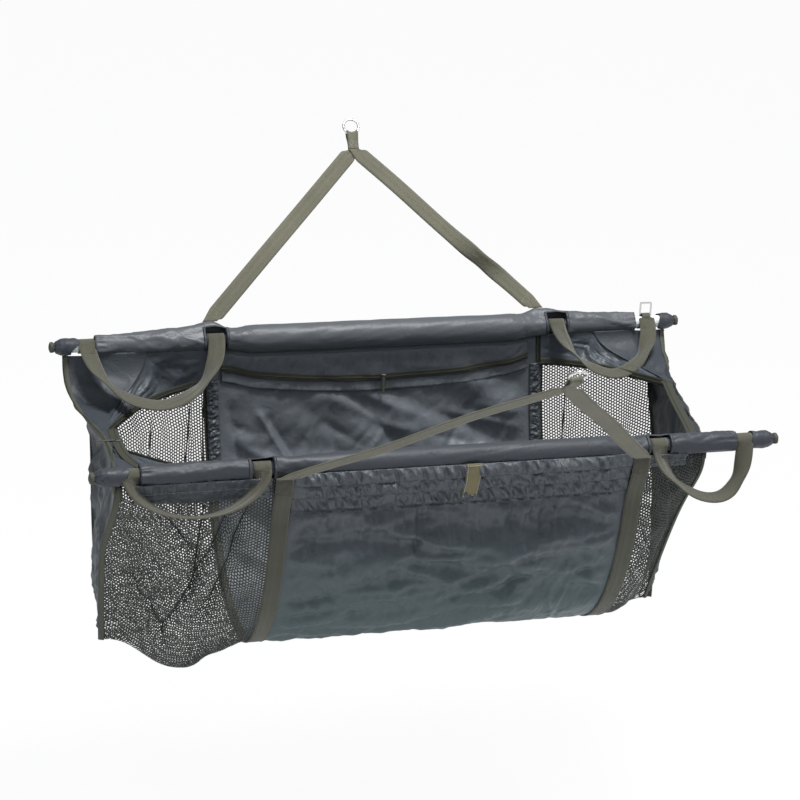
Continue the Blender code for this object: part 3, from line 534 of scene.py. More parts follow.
def shader_group(name: str, **inputs: Any) -> Callable[[Fill], Callable[[], bpy.types.NodeTree]]:
    """Turns a function that fills a graph into one that gives its group, made once.

    Args:
        name: The group's name.
        **inputs: Default values of its inputs: a tuple makes a colour, and a number a value.

    Returns:
        The decorator. The function takes the graph and the inputs' sockets, and returns the
        outputs' sockets by name.
    """

    def wrap(fill: Fill) -> Callable[[], bpy.types.NodeTree]:
        """Takes the function."""

        @wraps(fill)
        def group() -> bpy.types.NodeTree:
            """Finds or makes the group."""
            tree = bpy.data.node_groups.get(name)
            if tree is not None:
                return tree
            tree = bpy.data.node_groups.new(name, "ShaderNodeTree")
            for label, value in inputs.items():
                kind = "NodeSocketColor" if isinstance(value, tuple) else "NodeSocketFloat"
                tree.interface.new_socket(label, in_out="INPUT", socket_type=kind).default_value = value
            graph = Graph(tree)
            entry, leave = graph.node("NodeGroupInput"), graph.node("NodeGroupOutput")
            made = fill(graph, {label: entry.outputs[label] for label in inputs})
            for label, socket in made.items():
                kind = "NodeSocketColor" if label == "Colour" else "NodeSocketFloat"
                tree.interface.new_socket(label, in_out="OUTPUT", socket_type=kind)
                tree.links.new(socket, leave.inputs[label])
            return tree

        return group

    return wrap


@shader_group("cloudy_tone", Colour=(0.1, 0.1, 0.1, 1), Scale=6.0, Amount=0.3)
def tone_group(g: Graph, i: Sockets) -> Sockets:
    """Cloudy variation: the colour times 1 plus amount times (noise less a half)."""
    place = g.node("ShaderNodeTexCoord").outputs["Object"]
    cloud = g.node("ShaderNodeTexNoise", {"Vector": place, "Scale": i["Scale"], "Detail": 4.0})
    share = g.math("MULTIPLY", g.math("SUBTRACT", cloud.outputs["Fac"], 0.5), i["Amount"])
    grey = g.math("ADD", share, 1.0)
    tint = g.node("ShaderNodeCombineColor", {0: grey, 1: grey, 2: grey}).outputs[0]
    return {"Colour": g.mixed(1.0, i["Colour"], tint, "MULTIPLY"), "Cloud": cloud.outputs["Fac"]}


@shader_group("small_creases", Scale=24.0)
def crease_group(g: Graph, i: Sockets) -> Sockets:
    """Small creases: the sum of |noise - half| at two sizes, each on warped object places."""
    place = g.node("ShaderNodeTexCoord").outputs["Object"]
    total: Any = 0.0
    for factor, height in CREASE_SIZES:
        scale = g.math("MULTIPLY", i["Scale"], factor)
        cloud = g.node("ShaderNodeTexNoise", {"Vector": place, "Scale": scale, "Detail": 2.0,
                                              "Distortion": 1.4})
        ridge = g.math("ABSOLUTE", g.math("SUBTRACT", cloud.outputs["Fac"], 0.5))
        total = g.math("ADD", g.math("MULTIPLY", ridge, 2 * height), total)
    return {"Height": total}


@shader_group("herringbone", Pitch=0.0022, Band=0.006)
def weave_group(g: Graph, i: Sockets) -> Sockets:
    """Herringbone webbing: ribs along u plus the folded distance across, as a sine wave."""
    uv = g.node("ShaderNodeTexCoord").outputs["UV"]
    split = g.node("ShaderNodeSeparateXYZ", {0: uv})
    band = g.math("PINGPONG", split.outputs[1], i["Band"])
    slant = g.math("ADD", split.outputs[0], g.math("MULTIPLY", band, 0.9))
    wave = g.math("SINE", g.math("MULTIPLY", g.math("DIVIDE", slant, i["Pitch"]), TAU))
    fine = g.math("MULTIPLY", g.math("DIVIDE", split.outputs[1], i["Pitch"]), TAU * CROSS_RATE)
    cross = g.math("SINE", fine)
    height = g.math("ADD", g.math("MULTIPLY", wave, 0.5), g.math("MULTIPLY", cross, 0.18))
    return {"Height": height, "Shade": g.math("ADD", g.math("MULTIPLY", height, 0.5), 0.5)}


@shader_group("net_holes", Pitch=0.0045, Hole=0.3)
def net_group(g: Graph, i: Sockets) -> Sockets:
    """Net of six-sided holes: the sum of three cosine waves at 60 degrees, high in each hole."""
    uv = g.node("ShaderNodeTexCoord").outputs["UV"]
    split = g.node("ShaderNodeSeparateXYZ", {0: uv})
    u = g.math("MULTIPLY", g.math("DIVIDE", split.outputs[0], i["Pitch"]), TAU)
    v = g.math("MULTIPLY", g.math("DIVIDE", split.outputs[1], i["Pitch"]), TAU)
    total: Any = g.math("COSINE", u)
    for sign in (-1.0, 1.0):
        lean = g.math("ADD", g.math("MULTIPLY", u, 0.5), g.math("MULTIPLY", v, HALF_ROOT_THREE * sign))
        total = g.math("ADD", total, g.math("COSINE", lean))
    rim = g.math("MULTIPLY", g.math("SUBTRACT", i["Hole"], total), 3.0)
    thread = g.node("ShaderNodeClamp", {"Value": rim}).outputs[0]
    return {"Thread": thread, "Height": g.math("MULTIPLY", total, -0.3)}


def clouded(g: Graph, colour: Any, scale: float, amount: float) -> tuple[Any, Any]:
    """A colour with cloudy variation, and its clouds."""
    tone = g.grouped(tone_group(), {"Colour": colour, "Scale": scale, "Amount": amount})
    return tone.outputs["Colour"], tone.outputs["Cloud"]


@dataclass(frozen=True)
class Finish:
    """What every finish has: a name, the record's slot, a colour and a roughness."""

    name: str
    slot: str
    colour: tuple[float, float, float]
    roughness: float

    def material(self) -> bpy.types.Material:
        """The finish's material, made once."""
        made = bpy.data.materials.get(self.name)
        if made is None:
            made = bpy.data.materials.new(self.name)
            made.use_nodes = True
            graph = Graph(made.node_tree)
            shader = made.node_tree.nodes["Principled BSDF"]
            shader.inputs["Roughness"].default_value = self.roughness
            self.fill(graph, shader)
        return made

    @property
    def rgba(self) -> tuple[float, float, float, float]:
        """The colour with full alpha."""
        return (*self.colour, 1.0)

    def fill(self, g: Graph, shader: bpy.types.Node) -> None:
        """Makes the material's nodes round its shader."""
        raise NotImplementedError


@dataclass(frozen=True)
class CoatedNylon(Finish):
    """Thin coated cloth with a satin face, small creases and a cooler tint low on the sling."""

    low_colour: tuple[float, float, float] = (0.052, 0.080, 0.086)
    crease_scale: float = 22.0
    crease_depth: float = 0.0011
    sheen: float = 0.04
    low_height: float = -0.76
    high_height: float = -0.48

    def fill(self, g: Graph, shader: bpy.types.Node) -> None:
        """Colour falls from the slate tint to the low one, with height. Roughness follows clouds."""
        place = g.node("ShaderNodeTexCoord").outputs["Object"]
        height = g.node("ShaderNodeSeparateXYZ", {0: place}).outputs[2]
        fall = g.ranged(height, self.low_height, self.high_height, 0.0, 1.0, "SMOOTHSTEP")
        tone, cloud = clouded(g, g.mixed(fall, (*self.low_colour, 1), self.rgba), 5.0, 0.16)
        weave, _ = clouded(g, tone, 420.0, 0.22)
        crease = g.grouped(crease_group(), {"Scale": self.crease_scale})
        fine = g.grouped(crease_group(), {"Scale": self.crease_scale * 3.1})
        total = g.math("ADD", crease.outputs[0], g.math("MULTIPLY", fine.outputs[0], 0.3))
        g.feed(shader, {
            "Base Color": weave,
            "Roughness": g.ranged(cloud, 0.3, 0.7, self.roughness - 0.06, self.roughness + 0.08),
            "Normal": g.bump(total, 0.75, self.crease_depth),
            "Sheen Weight": self.sheen,
            "Sheen Roughness": 0.4,
            "Specular IOR Level": 0.36,
        })


@dataclass(frozen=True)
class Webbing(Finish):
    """Flat woven webbing with a herringbone face."""

    pitch: float = 0.0024
    band: float = 0.0060
    depth: float = 0.0004
    groove_shade: float = 0.62

    def fill(self, g: Graph, shader: bpy.types.Node) -> None:
        """Ribs raise the surface, and the colour is darkened in the grooves between them as painted shade.
        """
        ribs = g.grouped(weave_group(), {"Pitch": self.pitch, "Band": self.band})
        # The grooves between the ribs are darkened: painted shade.
        dark = tuple(value * self.groove_shade for value in self.colour)
        tone, _ = clouded(g, g.mixed(ribs.outputs["Shade"], (*dark, 1), self.rgba), 14.0, 0.35)
        fuzz = g.node("ShaderNodeTexNoise", {"Vector": g.node("ShaderNodeTexCoord").outputs["Object"],
                                             "Scale": 900.0, "Detail": 2.0}).outputs["Fac"]
        total = g.math("ADD", ribs.outputs["Height"], g.math("MULTIPLY", fuzz, 0.5))
        g.feed(shader, {"Base Color": tone, "Normal": g.bump(total, 0.9, self.depth),
                        "Sheen Weight": 0.25, "Specular IOR Level": 0.3})


@dataclass(frozen=True)
class Net(Finish):
    """Knitted net with open holes."""

    pitch: float = 0.0050
    hole: float = 0.20
    depth: float = 0.0008

    def fill(self, g: Graph, shader: bpy.types.Node) -> None:
        """The holes are cut by alpha, and the threads are raised."""
        holes = g.grouped(net_group(), {"Pitch": self.pitch, "Hole": self.hole})
        tone, _ = clouded(g, self.rgba, 8.0, 0.4)
        g.feed(shader, {"Base Color": tone, "Alpha": holes.outputs["Thread"],
                        "Normal": g.bump(holes.outputs["Height"], 0.7, self.depth),
                        "Specular IOR Level": 0.3})


@dataclass(frozen=True)
class Tape(Finish):
    """Matte tape, thread, foam or hook cloth with a fine grain."""

    grain: float = 700.0
    depth: float = 0.0003
    amount: float = 0.4

    def fill(self, g: Graph, shader: bpy.types.Node) -> None:
        """Grain varies the colour and raises the surface."""
        tone, _ = clouded(g, self.rgba, 18.0, 0.3)
        fine, cloud = clouded(g, tone, self.grain, self.amount)
        g.feed(shader, {"Base Color": fine, "Normal": g.bump(cloud, 0.8, self.depth),
                        "Specular IOR Level": 0.25})


@dataclass(frozen=True)
class Hard(Finish):
    """Metal or plastic with light scuffs."""

    metallic: float = 0.0

    def fill(self, g: Graph, shader: bpy.types.Node) -> None:
        """Scuffs vary the roughness and the colour a little."""
        tone, cloud = clouded(g, self.rgba, 60.0, 0.16)
        low = max(0.05, self.roughness - 0.08)
        g.feed(shader, {"Base Color": tone, "Metallic": self.metallic,
                        "Roughness": g.ranged(cloud, 0.3, 0.7, low, self.roughness + 0.10),
                        "Normal": g.bump(cloud, 0.2, 0.0002)})


NYLON = CoatedNylon("slate_nylon", "coated_nylon", (0.056, 0.067, 0.079), 0.40)
# A lighter copy of the slate nylon for the rear wall and its facing, which are seen inside the sling:
# painted light that lifts their shade.
LIT_REAR_WALL_NYLON = CoatedNylon("rear_wall_nylon_painted_light", "coated_nylon", (0.112, 0.126, 0.142), 0.46,
                     low_colour=(0.100, 0.114, 0.128), crease_scale=15.0, crease_depth=0.0014)
# A darker copy of the slate nylon for the ends' gussets and decks: painted shade.
SHADED_END_NYLON = CoatedNylon("end_nylon_painted_shade", "coated_nylon", (0.036, 0.044, 0.053), 0.50,
                        low_colour=(0.034, 0.052, 0.057))
# Two copies of the sleeves' nylon: the rear sleeve's lighter one is painted light from above, and the darker
# one, for the front sleeve and for the liners, cuffs, hems and pockets, is painted shade.
LIT_REAR_SLEEVE_NYLON = CoatedNylon("rear_sleeve_nylon_painted_light", "coated_nylon", (0.082, 0.090, 0.100), 0.42,
                                low_colour=(0.082, 0.090, 0.100), crease_scale=30.0, crease_depth=0.0007)
SHADED_SLEEVE_NYLON = CoatedNylon("sleeve_nylon_painted_shade", "coated_nylon", (0.036, 0.042, 0.051), 0.50,
                           low_colour=(0.036, 0.042, 0.050), crease_scale=30.0, crease_depth=0.0007)
# A lighter, glossier copy of the slate nylon for the gathered band, strips and ruches: painted light for the
# highlights on the gathers.
LIT_GATHER_NYLON = CoatedNylon("gathered_nylon_painted_light", "coated_nylon", (0.064, 0.074, 0.084), 0.36,
                           low_colour=(0.064, 0.078, 0.086), crease_scale=60.0, crease_depth=0.0012)
# Three copies of one olive webbing: the hangers' lighter one is painted light from above, and the handles'
# and walls' darker ones are painted shade.
LIT_HANGER_WEBBING = Webbing("hanger_webbing_painted_light", "olive_webbing", (0.168, 0.164, 0.118), 0.78)
SHADED_HANDLE_WEBBING = Webbing("handle_webbing_painted_shade", "olive_webbing", (0.098, 0.097, 0.069), 0.80)
SHADED_WALL_WEBBING = Webbing("wall_webbing_painted_shade", "olive_webbing", (0.084, 0.085, 0.060), 0.80)
# Dark strips along the net's inward folds: partly the doubled net, partly painted shade in the folds.
NET_FOLD_SHADE = Tape("net_fold_painted_shade", "fine_mesh", (0.026, 0.030, 0.027), 0.85)
NET = Net("drain_net", "fine_mesh", (0.050, 0.055, 0.049), 0.72)
ZIP_TAPE = Tape("zip_tape_cloth", "zip_tape", (0.046, 0.048, 0.036), 0.75)
BINDING = Tape("olive_binding", "zip_tape", (0.072, 0.076, 0.058), 0.75)
TEETH = Tape("coil_teeth", "zip_tape", (0.040, 0.044, 0.036), 0.5)
HOOK = Tape("hook_cloth", "hook_tape", (0.165, 0.150, 0.088), 0.9, grain=480.0, depth=0.0008)
PALE_THREAD = Tape("pale_thread", "olive_webbing", (0.33, 0.32, 0.27), 0.7)
DARK_THREAD = Tape("dark_thread", "coated_nylon", (0.030, 0.034, 0.042), 0.7)
STRAP_THREAD = Tape("strap_thread", "olive_webbing", (0.115, 0.112, 0.084), 0.7)
HANDLE_THREAD = Tape("handle_thread", "olive_webbing", (0.105, 0.102, 0.078), 0.7)
FOAM = Tape("float_foam", "grey_foam", (0.30, 0.30, 0.30), 0.9, grain=300.0)
STEEL = Hard("ring_metal", "ring_steel", (0.74, 0.74, 0.72), 0.26, metallic=1.0)
WHITE_PLASTIC = Hard("white_pole_plastic", "white_tube", (0.76, 0.79, 0.78), 0.42)
BLACK_PLASTIC = Hard("black_fittings", "black_plastic", (0.028, 0.030, 0.030), 0.40)


# Walls, nets and straps


@dataclass(frozen=True)
class WallForm:
    """The creased surface of one wall, on which its cloth, net, straps and linings lie."""

    line: PoleLine
    crumple: Crumple
    folds: tuple[Fold, ...]
    net_waves: tuple[tuple[float, float, float], ...]
    hem_depth: float = 0.02
    pucker: float = 0.0
    fall: float = 0.56
    net_calm: float = 0.75
    foot_calm: float = 0.5
    foot_start: float = 0.72
    strap_margin: float = 0.013
    strap_ease: float = 0.035
    end_ease: float = 0.16
    hem_ease: float = 0.06
    seam_ease: float = 0.05

    def height(self, across: Array, depth: Array) -> Array:
        """How far the creased cloth stands off the plain wall.

        The sum of the crumple, of each fold (its height times e to the power of minus the
        distance from it over its width), of the puckers under the front's gathered band and, in
        the bays, of waves that run down the net. It is eased to 0 at the sleeve, the straps,
        the ends and the seam.

        Args:
            across: Places across the wall.
            depth: Depths down the wall.

        Returns:
            Heights in metres, outwards positive.
        """
        x = self.line.wall(across, depth)[..., 0]
        down = depth * self.fall
        near_strap = np.minimum(np.abs(x - self.line.strap_place(-1, depth)),
                                np.abs(x - self.line.strap_place(1, depth)))
        bay = eased((np.abs(across) - 1) / 0.15)
        total = self.crumple.at(x, down) * (1 - self.net_calm * bay)
        for fold in self.folds:
            ends = [self.line.wall(*place)[0] for place in (fold.start, fold.end)]
            a = np.array([ends[0], fold.start[1] * self.fall])
            b = np.array([ends[1], fold.end[1] * self.fall])
            way = b - a
            share = np.clip(((x - a[0]) * way[0] + (down - a[1]) * way[1]) / (way @ way), 0, 1)
            away = np.hypot(x - a[0] - share * way[0], down - a[1] - share * way[1])
            total = total + fold.height * np.exp(-np.sqrt(away**2 + 1e-6) / fold.width)
        for length, size, seed in self.net_waves:
            drift = noise(down / 0.16, x / 0.5, int(seed)) * 0.8
            wave = np.abs(np.sin((x / length + drift) * math.pi)) - 0.6
            total = total + size * wave * bay * eased(depth / 0.35)
        if self.pucker:
            band = eased((depth - 0.15) / 0.03) * eased((0.52 - depth) / 0.34)
            wave = noise(x / 0.017, down / 0.16, 91) + 0.6 * noise(x / 0.009, down / 0.09, 92)
            total = total + self.pucker * wave * band * (1 - bay)
        total = total * (1 - self.foot_calm * eased((depth - self.foot_start) / 0.2))
        mask = eased((near_strap - self.strap_margin) / self.strap_ease)
        mask = mask * eased((2 - np.abs(across)) / self.end_ease)
        mask = mask * eased((depth - self.hem_depth) / self.hem_ease) * eased((1 - depth) / self.seam_ease)
        return total * mask

    def at(self, across: Any, depth: Any, lift: Any = 0.0, cloth: float = WALL_CLOTH,
           creased: float = 1.0) -> Array:
        """Points on the creased surface: the wall plus its normal times the height and the lift.

        Args:
            across: Places across the wall.
            depth: Depths down the wall.
            lift: Distance outwards from the creased surface.
            cloth: Thickness of the wall's cloth.
            creased: Share of the creases that shows.

        Returns:
            The points.
        """
        across, depth = np.broadcast_arrays(np.asarray(across, float), np.asarray(depth, float))
        step = 0.002
        base = self.line.wall(across, depth, cloth)
        along = self.line.wall(across + step, depth, cloth) - self.line.wall(across - step, depth, cloth)
        low, high = np.clip(depth - step, 0, 1), np.clip(depth + step, 0, 1)
        down = self.line.wall(across, high, cloth) - self.line.wall(across, low, cloth)
        normal = unit(np.cross(along, down)) * self.line.side
        return base + normal * (self.height(across, depth) * creased + lift)[..., None]


REAR_WALL = WallForm(
    REAR,
    Crumple(size=0.150, height=0.0125, seed=5, stretch=2.2, octaves=5, sharp=0.020, lean=0.8),
    (
        Fold((-0.72, 0.28), (-0.50, 0.56), 0.010, -0.011),
        Fold((-0.66, 0.30), (-0.42, 0.60), 0.014, 0.008),
        Fold((-0.30, 0.34), (0.05, 0.52), 0.020, 0.008),
        Fold((0.10, 0.30), (-0.16, 0.60), 0.012, -0.007),
        Fold((0.62, 0.26), (0.36, 0.55), 0.016, 0.009),
        Fold((0.78, 0.30), (0.70, 0.60), 0.010, -0.007),
        Fold((-0.90, 0.26), (-0.82, 0.62), 0.010, 0.006),
        Fold((0.30, 0.40), (0.60, 0.46), 0.012, 0.006),
        Fold((-1.06, 0.10), (-1.10, 0.62), 0.005, -0.010),
        Fold((-1.16, 0.14), (-1.28, 0.66), 0.005, -0.010),
        Fold((-1.50, 0.26), (-1.56, 0.60), 0.005, -0.008),
        Fold((1.30, 0.16), (1.22, 0.66), 0.005, -0.008),
    ),
    ((0.056, 0.0060, 3), (0.033, 0.0028, 8)),
)
FRONT_WALL = WallForm(
    FRONT,
    Crumple(size=0.125, height=0.0145, seed=12, stretch=2.5, octaves=5, sharp=0.025, lean=0.22),
    (
        Fold((-0.20, 0.26), (-0.22, 0.44), 0.008, -0.007),
        Fold((0.52, 0.20), (0.50, 0.36), 0.008, -0.008),
        Fold((0.42, 0.19), (0.36, 0.34), 0.010, 0.005),
        Fold((-0.70, 0.30), (-0.30, 0.62), 0.014, 0.006),
        Fold((-0.60, 0.62), (0.20, 0.56), 0.012, 0.006),
        Fold((0.00, 0.70), (0.80, 0.58), 0.012, -0.006),
        Fold((0.30, 0.46), (0.84, 0.30), 0.016, 0.006),
        Fold((-0.86, 0.50), (-0.50, 0.76), 0.012, -0.006),
        Fold((-1.82, 0.05), (-1.50, 0.36), 0.006, -0.014),
        Fold((-1.46, 0.02), (-1.50, 0.55), 0.005, -0.016),
        Fold((-1.26, 0.05), (-1.66, 0.80), 0.006, -0.020),
        Fold((-1.17, 0.04), (-1.40, 0.66), 0.005, -0.016),
        Fold((-1.84, 0.55), (-1.62, 0.86), 0.006, -0.014),
        Fold((-1.06, 0.30), (-1.10, 0.90), 0.008, 0.008),
    ),
    ((0.075, 0.0110, 4), (0.036, 0.0030, 9)),
    hem_depth=0.13,
    pucker=0.0050,
)


def carry(obj: bpy.types.Object, carrier: Carrier) -> None:
    """Hands a piece to its body, or, for a piece between the two sides, bakes its place into its mesh."""
    if carrier is Carrier.ENDS:
        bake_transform(obj)
    else:
        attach(obj, carrier.value)


def dressed(obj: bpy.types.Object, finish: Finish, carrier: Carrier, node: str = "") -> None:
    """Gives a piece its material and its body, and hides the CAD node that it stands for.

    Args:
        obj: The piece.
        finish: Its finish.
        carrier: What it moves with.
        node: The node that it stands for, if there is one.
    """
    obj.data.materials.append(finish.material())
    if node:
        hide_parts(node)
    carry(obj, carrier)
    LOG.info("%s: %d faces, moves with %s", obj.name, len(obj.data.polygons), carrier.value)


def declare(points: Array,
            ring: bool) -> None:
    """Measures a sheet's cut, as wide and long as its longest rows and columns, and its area. Nothing is
    done with these sizes.

    Args:
        points: Its grid.
        ring: Whether its columns close round.
    """
    if ring:
        points = np.concatenate([points, points[:, :1]], axis=1)
    width = float(arc_lengths(points, 0)[-1].max())
    length = float(arc_lengths(points, 1)[:, -1].max())
    sides = np.cross(points[1:, :-1] - points[:-1, :-1], points[:-1, 1:] - points[:-1, :-1])
    area = float(np.linalg.norm(sides, axis=-1).sum())
    area = min(max(area, 0.31 * width * length), width * length)


def sheet(
    name: str,
    points: Array,
    thickness: float,
    finish: Finish,
    carrier: Carrier,
    node: str = "",
    held: Sequence[str] = (),
    ring: bool = False,
    keep: Array | None = None,
) -> None:
    """Makes and dresses a piece from a grid of points.

    Args:
        name: The piece's name.
        points: Its grid.
        thickness: The thickness that Solidify gives it, or 0 for none.
        finish: Its finish.
        carrier: What it moves with.
        node: The CAD node that it stands for, if there is one.
        held: How it is held and then what it hangs from or lies on; only whether it is given is read, and
            then the sheet's sizes are measured.
        ring: Whether its columns close round.
        keep: Which quads are kept, or None for all.
    """
    obj = grid_object(name, points, thickness, ring, keep)
    dressed(obj, finish, carrier, node)
    if held:
        declare(points, ring)


@dataclass(frozen=True)
class Stitching:
    """Rows of small thread stitches, each a closed spindle of six sides."""

    length: float = 0.0026
    pitch: float = 0.0038
    radius: float = 0.00042

    def spindles(self, name: str, paths: Sequence[Array],
                 normals: Sequence[Array]) -> bpy.types.Object:
        """Sets a spindle every pitch along each path.

        A spindle's rings lie at -1, -0.6, 0.6 and 1 half lengths with radii of 0.15, 1, 1 and
        0.15, so each stitch is a tangent share plus a ring round it in the other two directions.

        Args:
            name: The piece's name.
            paths: Points along each row.
            normals: One direction out of the cloth for each path.

        Returns:
            One object with every stitch.
        """
        rows = []
        for path, normal in zip(paths, normals):
            spots = resampled(np.asarray(path, float), self.pitch)
            rows.append((spots, unit(np.gradient(spots, axis=0)), np.broadcast_to(normal, spots.shape)))
        spots = np.concatenate([row[0] for row in rows])
        ahead = np.concatenate([row[1] for row in rows])
        out = np.concatenate([row[2] for row in rows])
        beside = unit(np.cross(ahead, out))
        out = np.cross(beside, ahead)
        turn = np.arange(6) * TAU / 6
        share = np.array([-1, -0.6, 0.6, 1.0])[:, None] * self.length / 2
        size = np.array([0.15, 1, 1, 0.15])[:, None] * self.radius
        local = np.stack([share + 0 * turn, size * np.cos(turn), size * np.sin(turn)], -1).reshape(-1, 3)
        axes = np.stack([ahead, beside, out], 1)
        points = spots[:, None, :] + np.einsum("vk,nkd->nvd", local, axes)
        ring, side = np.meshgrid(np.arange(3), np.arange(6), indexing="ij")
        quads = np.stack([ring * 6 + side, ring * 6 + (side + 1) % 6,
                          (ring + 1) * 6 + (side + 1) % 6, (ring + 1) * 6 + side], -1).reshape(-1, 4)
        caps = np.array([[0, 1, 2, 3], [0, 3, 4, 5], [18, 19, 20, 21], [18, 21, 22, 23]])
        caps[:2] = caps[:2, ::-1]
        faces = np.concatenate([quads, caps])
        faces = (faces[None] + 24 * np.arange(len(spots))[:, None, None]).reshape(-1, 4)
        return closed_object(name, points.reshape(-1, 3), faces)

    def sew(self, name: str, paths: Sequence[Array], normals: Sequence[Array],
            finish: Finish, carrier: Carrier) -> None:
        """Makes and dresses rows of stitches."""
        dressed(self.spindles(name, paths, normals), finish, carrier)


THREAD = Stitching()
COIL = Stitching(length=0.0046, pitch=0.0030, radius=0.0009)
TAB_THREAD = Stitching(length=0.0034, pitch=0.0040, radius=0.0008)
FINE_THREAD = Stitching(length=0.0022, pitch=0.0032, radius=0.00035)


def box_cross(centre: Array, along: Array, across: Array, half_long: float,
              half_wide: float) -> list[Array]:
    """The rows of a sewn box with a cross in it: its four sides and its two diagonals."""
    corners = [centre + a * half_long * along + b * half_wide * across
               for a, b in ((-1, -1), (1, -1), (1, 1), (-1, 1))]
    rows = [np.array([corners[i], corners[(i + 1) % 4]]) for i in range(4)]
    return rows + [np.array([corners[0], corners[2]]), np.array([corners[1], corners[3]])]


@dataclass
class Walls:
    """The cloth and net of one long side, its straps and the bindings down its ends."""

    form: WallForm
    panel_steps: tuple[int, int] = (241, 121)
    net_steps: tuple[int, int] = (89, 101)
    net_start: float = 1.004
    end_binding: float = 0.006
    end_binding_lift: float = 0.0016
    end_binding_reach: float = 0.0042
    end_binding_turn: float = 0.0040
    inner_binding: float = 0.010
    inner_binding_lift: float = 0.0018
    inner_binding_end: float = 0.985
    pleat_half: float = 0.0014
    pleat_tip: float = 0.0002
    pleat_sway: float = 0.007
    pleat_lift: float = 0.0012
    strap_lap: float = 0.0020
    strap_lead: float = 0.24
    ripple_height: float = 0.0022
    stitch_lift: float = 0.0010
    stitch_place: float = 0.0126
    box_halves: tuple[float, float] = (0.0115, 0.0112)

    def build(self) -> None:
        """Makes every piece of the wall."""
        line, name = self.form.line, self.form.line.name
        across = np.linspace(-1, 1, self.panel_steps[0])[:, None]
        points = self.form.at(across, steps_down(self.panel_steps[1])[None, :])
        # The rear wall's panel takes the lighter copy of the nylon: painted light against its shade.
        sheet(f"{name}_panel_cloth", points, SIZES.cloth, LIT_REAR_WALL_NYLON if line is REAR else NYLON,
              line.carrier, f"{name}_centre_panel", ("hung", f"{name}_sleeve"))
        for end, label in BOTH_ENDS:
            self.bay(end, label)
            self.pleats(end, label)
            self.strap(end, label)

    def bay(self, end: int, label: str) -> None:
        """The net bay at one end and the bindings down both its edges."""
        line, form, s = self.form.line, self.form, SIZES
        across = end * np.linspace(self.net_start, 2, self.net_steps[0])[:, None]
        depth = steps_down(self.net_steps[1])[None, :]
        points = form.at(across, depth, cloth=s.mesh_cloth)
        sheet(f"{line.name}_net_{label}", points, NET_CLOTH, NET, line.carrier,
              f"{line.name}_mesh_{label}", ("hung", f"{line.name}_sleeve"))
        share = np.linspace(0, 1, 5)[:, None]
        across = end * (2 - self.end_binding / s.bay_length * share)
        binding = form.at(across, depth, lift=self.end_binding_lift, cloth=s.mesh_cloth)
        binding[..., 0] += end * self.end_binding_reach * (1 - share)
        binding[..., 1] -= line.side * self.end_binding_turn * (1 - share) ** 2
        sheet(f"{line.name}_end_binding_{label}", binding, s.cloth, BINDING, line.carrier)
        across = end * (self.net_start + self.inner_binding / s.bay_length * np.linspace(0, 1, 4))[:, None]
        depth = depth[:, depth[0] < self.inner_binding_end]
        inner = form.at(across, depth, lift=-self.inner_binding_lift, cloth=s.mesh_cloth)
        sheet(f"{line.name}_inner_binding_{label}", inner, THIN_CLOTH, BINDING, line.carrier)

    def pleats(self, end: int, label: str) -> None:
        """The net's pinched pleats: dark strips along its inward folds, tapering at both ends, that stand
        partly for the doubled net and partly for painted shade in the folds.
        """
        line, form = self.form.line, self.form
        share = np.linspace(0, 1, 90)
        for number, fold in enumerate(form.folds):
            if fold.start[0] * end < 1 or fold.height > 0:
                continue
            across = fold.start[0] + (fold.end[0] - fold.start[0]) * share
            depth = fold.start[1] + (fold.end[1] - fold.start[1]) * share
            across = across + self.pleat_sway * noise(share * 2.0, number, 29)
            centre = form.at(across, depth, lift=self.pleat_lift, cloth=SIZES.mesh_cloth)
            ragged = 1 + 0.5 * noise(share * 9, number, 30)
            half = self.pleat_half * np.sin(math.pi * share) ** 0.6 * ragged
            pleat = ribbon(centre, np.maximum(half, self.pleat_tip)[:, None] * ALONG, 3)
            # Each pleat is a dark strip: the doubled net and painted shade in the fold.
            sheet(f"{line.name}_net_pleat_{label}_{number}", pleat, NET_CLOTH, NET_FOLD_SHADE, line.carrier)

    def strap(self, end: int, label: str) -> None:
        """The webbing down the wall, with two rows of stitches and a sewn box at its top."""
        line, s = self.form.line, SIZES
        depth = steps_down(150)
        centre = self.form.at(np.full_like(depth, end), depth, lift=self.strap_lap)
        centre = centre + self.ripple(depth, end)[:, None] * line.side * REARWARD
        if line is FRONT:
            fall = (centre[:, 2] - centre[0, 2]) / (centre[-1, 2] - centre[0, 2])
            foot_y = -s.half_mouth - s.foot_reach * math.cos(s.front_pull)
            foot_z = -s.front_drop - s.foot_reach * math.sin(s.front_pull)
            top_lift = centre[0, 1] - foot_y - s.webbing_thickness - s.seam_gap
            centre[:, 1] -= top_lift * (1 - eased(fall / self.strap_lead))
            top = [centre[0, 0], centre[0, 1], foot_z + s.webbing_thickness]
            centre = np.concatenate([[top], centre])
        centre = resampled(centre, 0.004)
        grid = ribbon(centre, np.broadcast_to(s.webbing_width / 2 * ALONG, centre.shape), 7)
        # The wall straps take the darker copy of the webbing: painted shade.
        sheet(f"{line.name}_strap_webbing_{label}", grid, s.webbing_thickness, SHADED_WALL_WEBBING,
              line.carrier, f"{line.name}_strap_{label}")
        out = line.side * REARWARD
        ahead = unit(np.gradient(centre, axis=0))
        normal = unit(np.cross(ahead, ALONG))
        normal = normal * np.sign((normal * out).sum(-1, keepdims=True) + 1e-9)
        skin = centre + normal * self.stitch_lift
        box = box_cross(skin[5], ahead[5], ALONG, *self.box_halves)
        rows = [skin[2:] + side * self.stitch_place * ALONG for side in (-1, 1)] + box
        THREAD.sew(f"{line.name}_strap_stitches_{label}", rows, [normal.mean(0)] * 2 + [out] * len(box),
                   STRAP_THREAD, line.carrier)

    def ripple(self, depth: Array, end: int) -> Array:
        """How far the strap stands off the wall: noise down its length, never inwards."""
        wave = noise(depth * 5.3 + 3 * end, 0.5, 44 + end)
        return self.ripple_height * np.abs(wave) * eased(depth / 0.2) * eased((1 - depth) / 0.2)


# Sleeves, pockets and what the poles carry


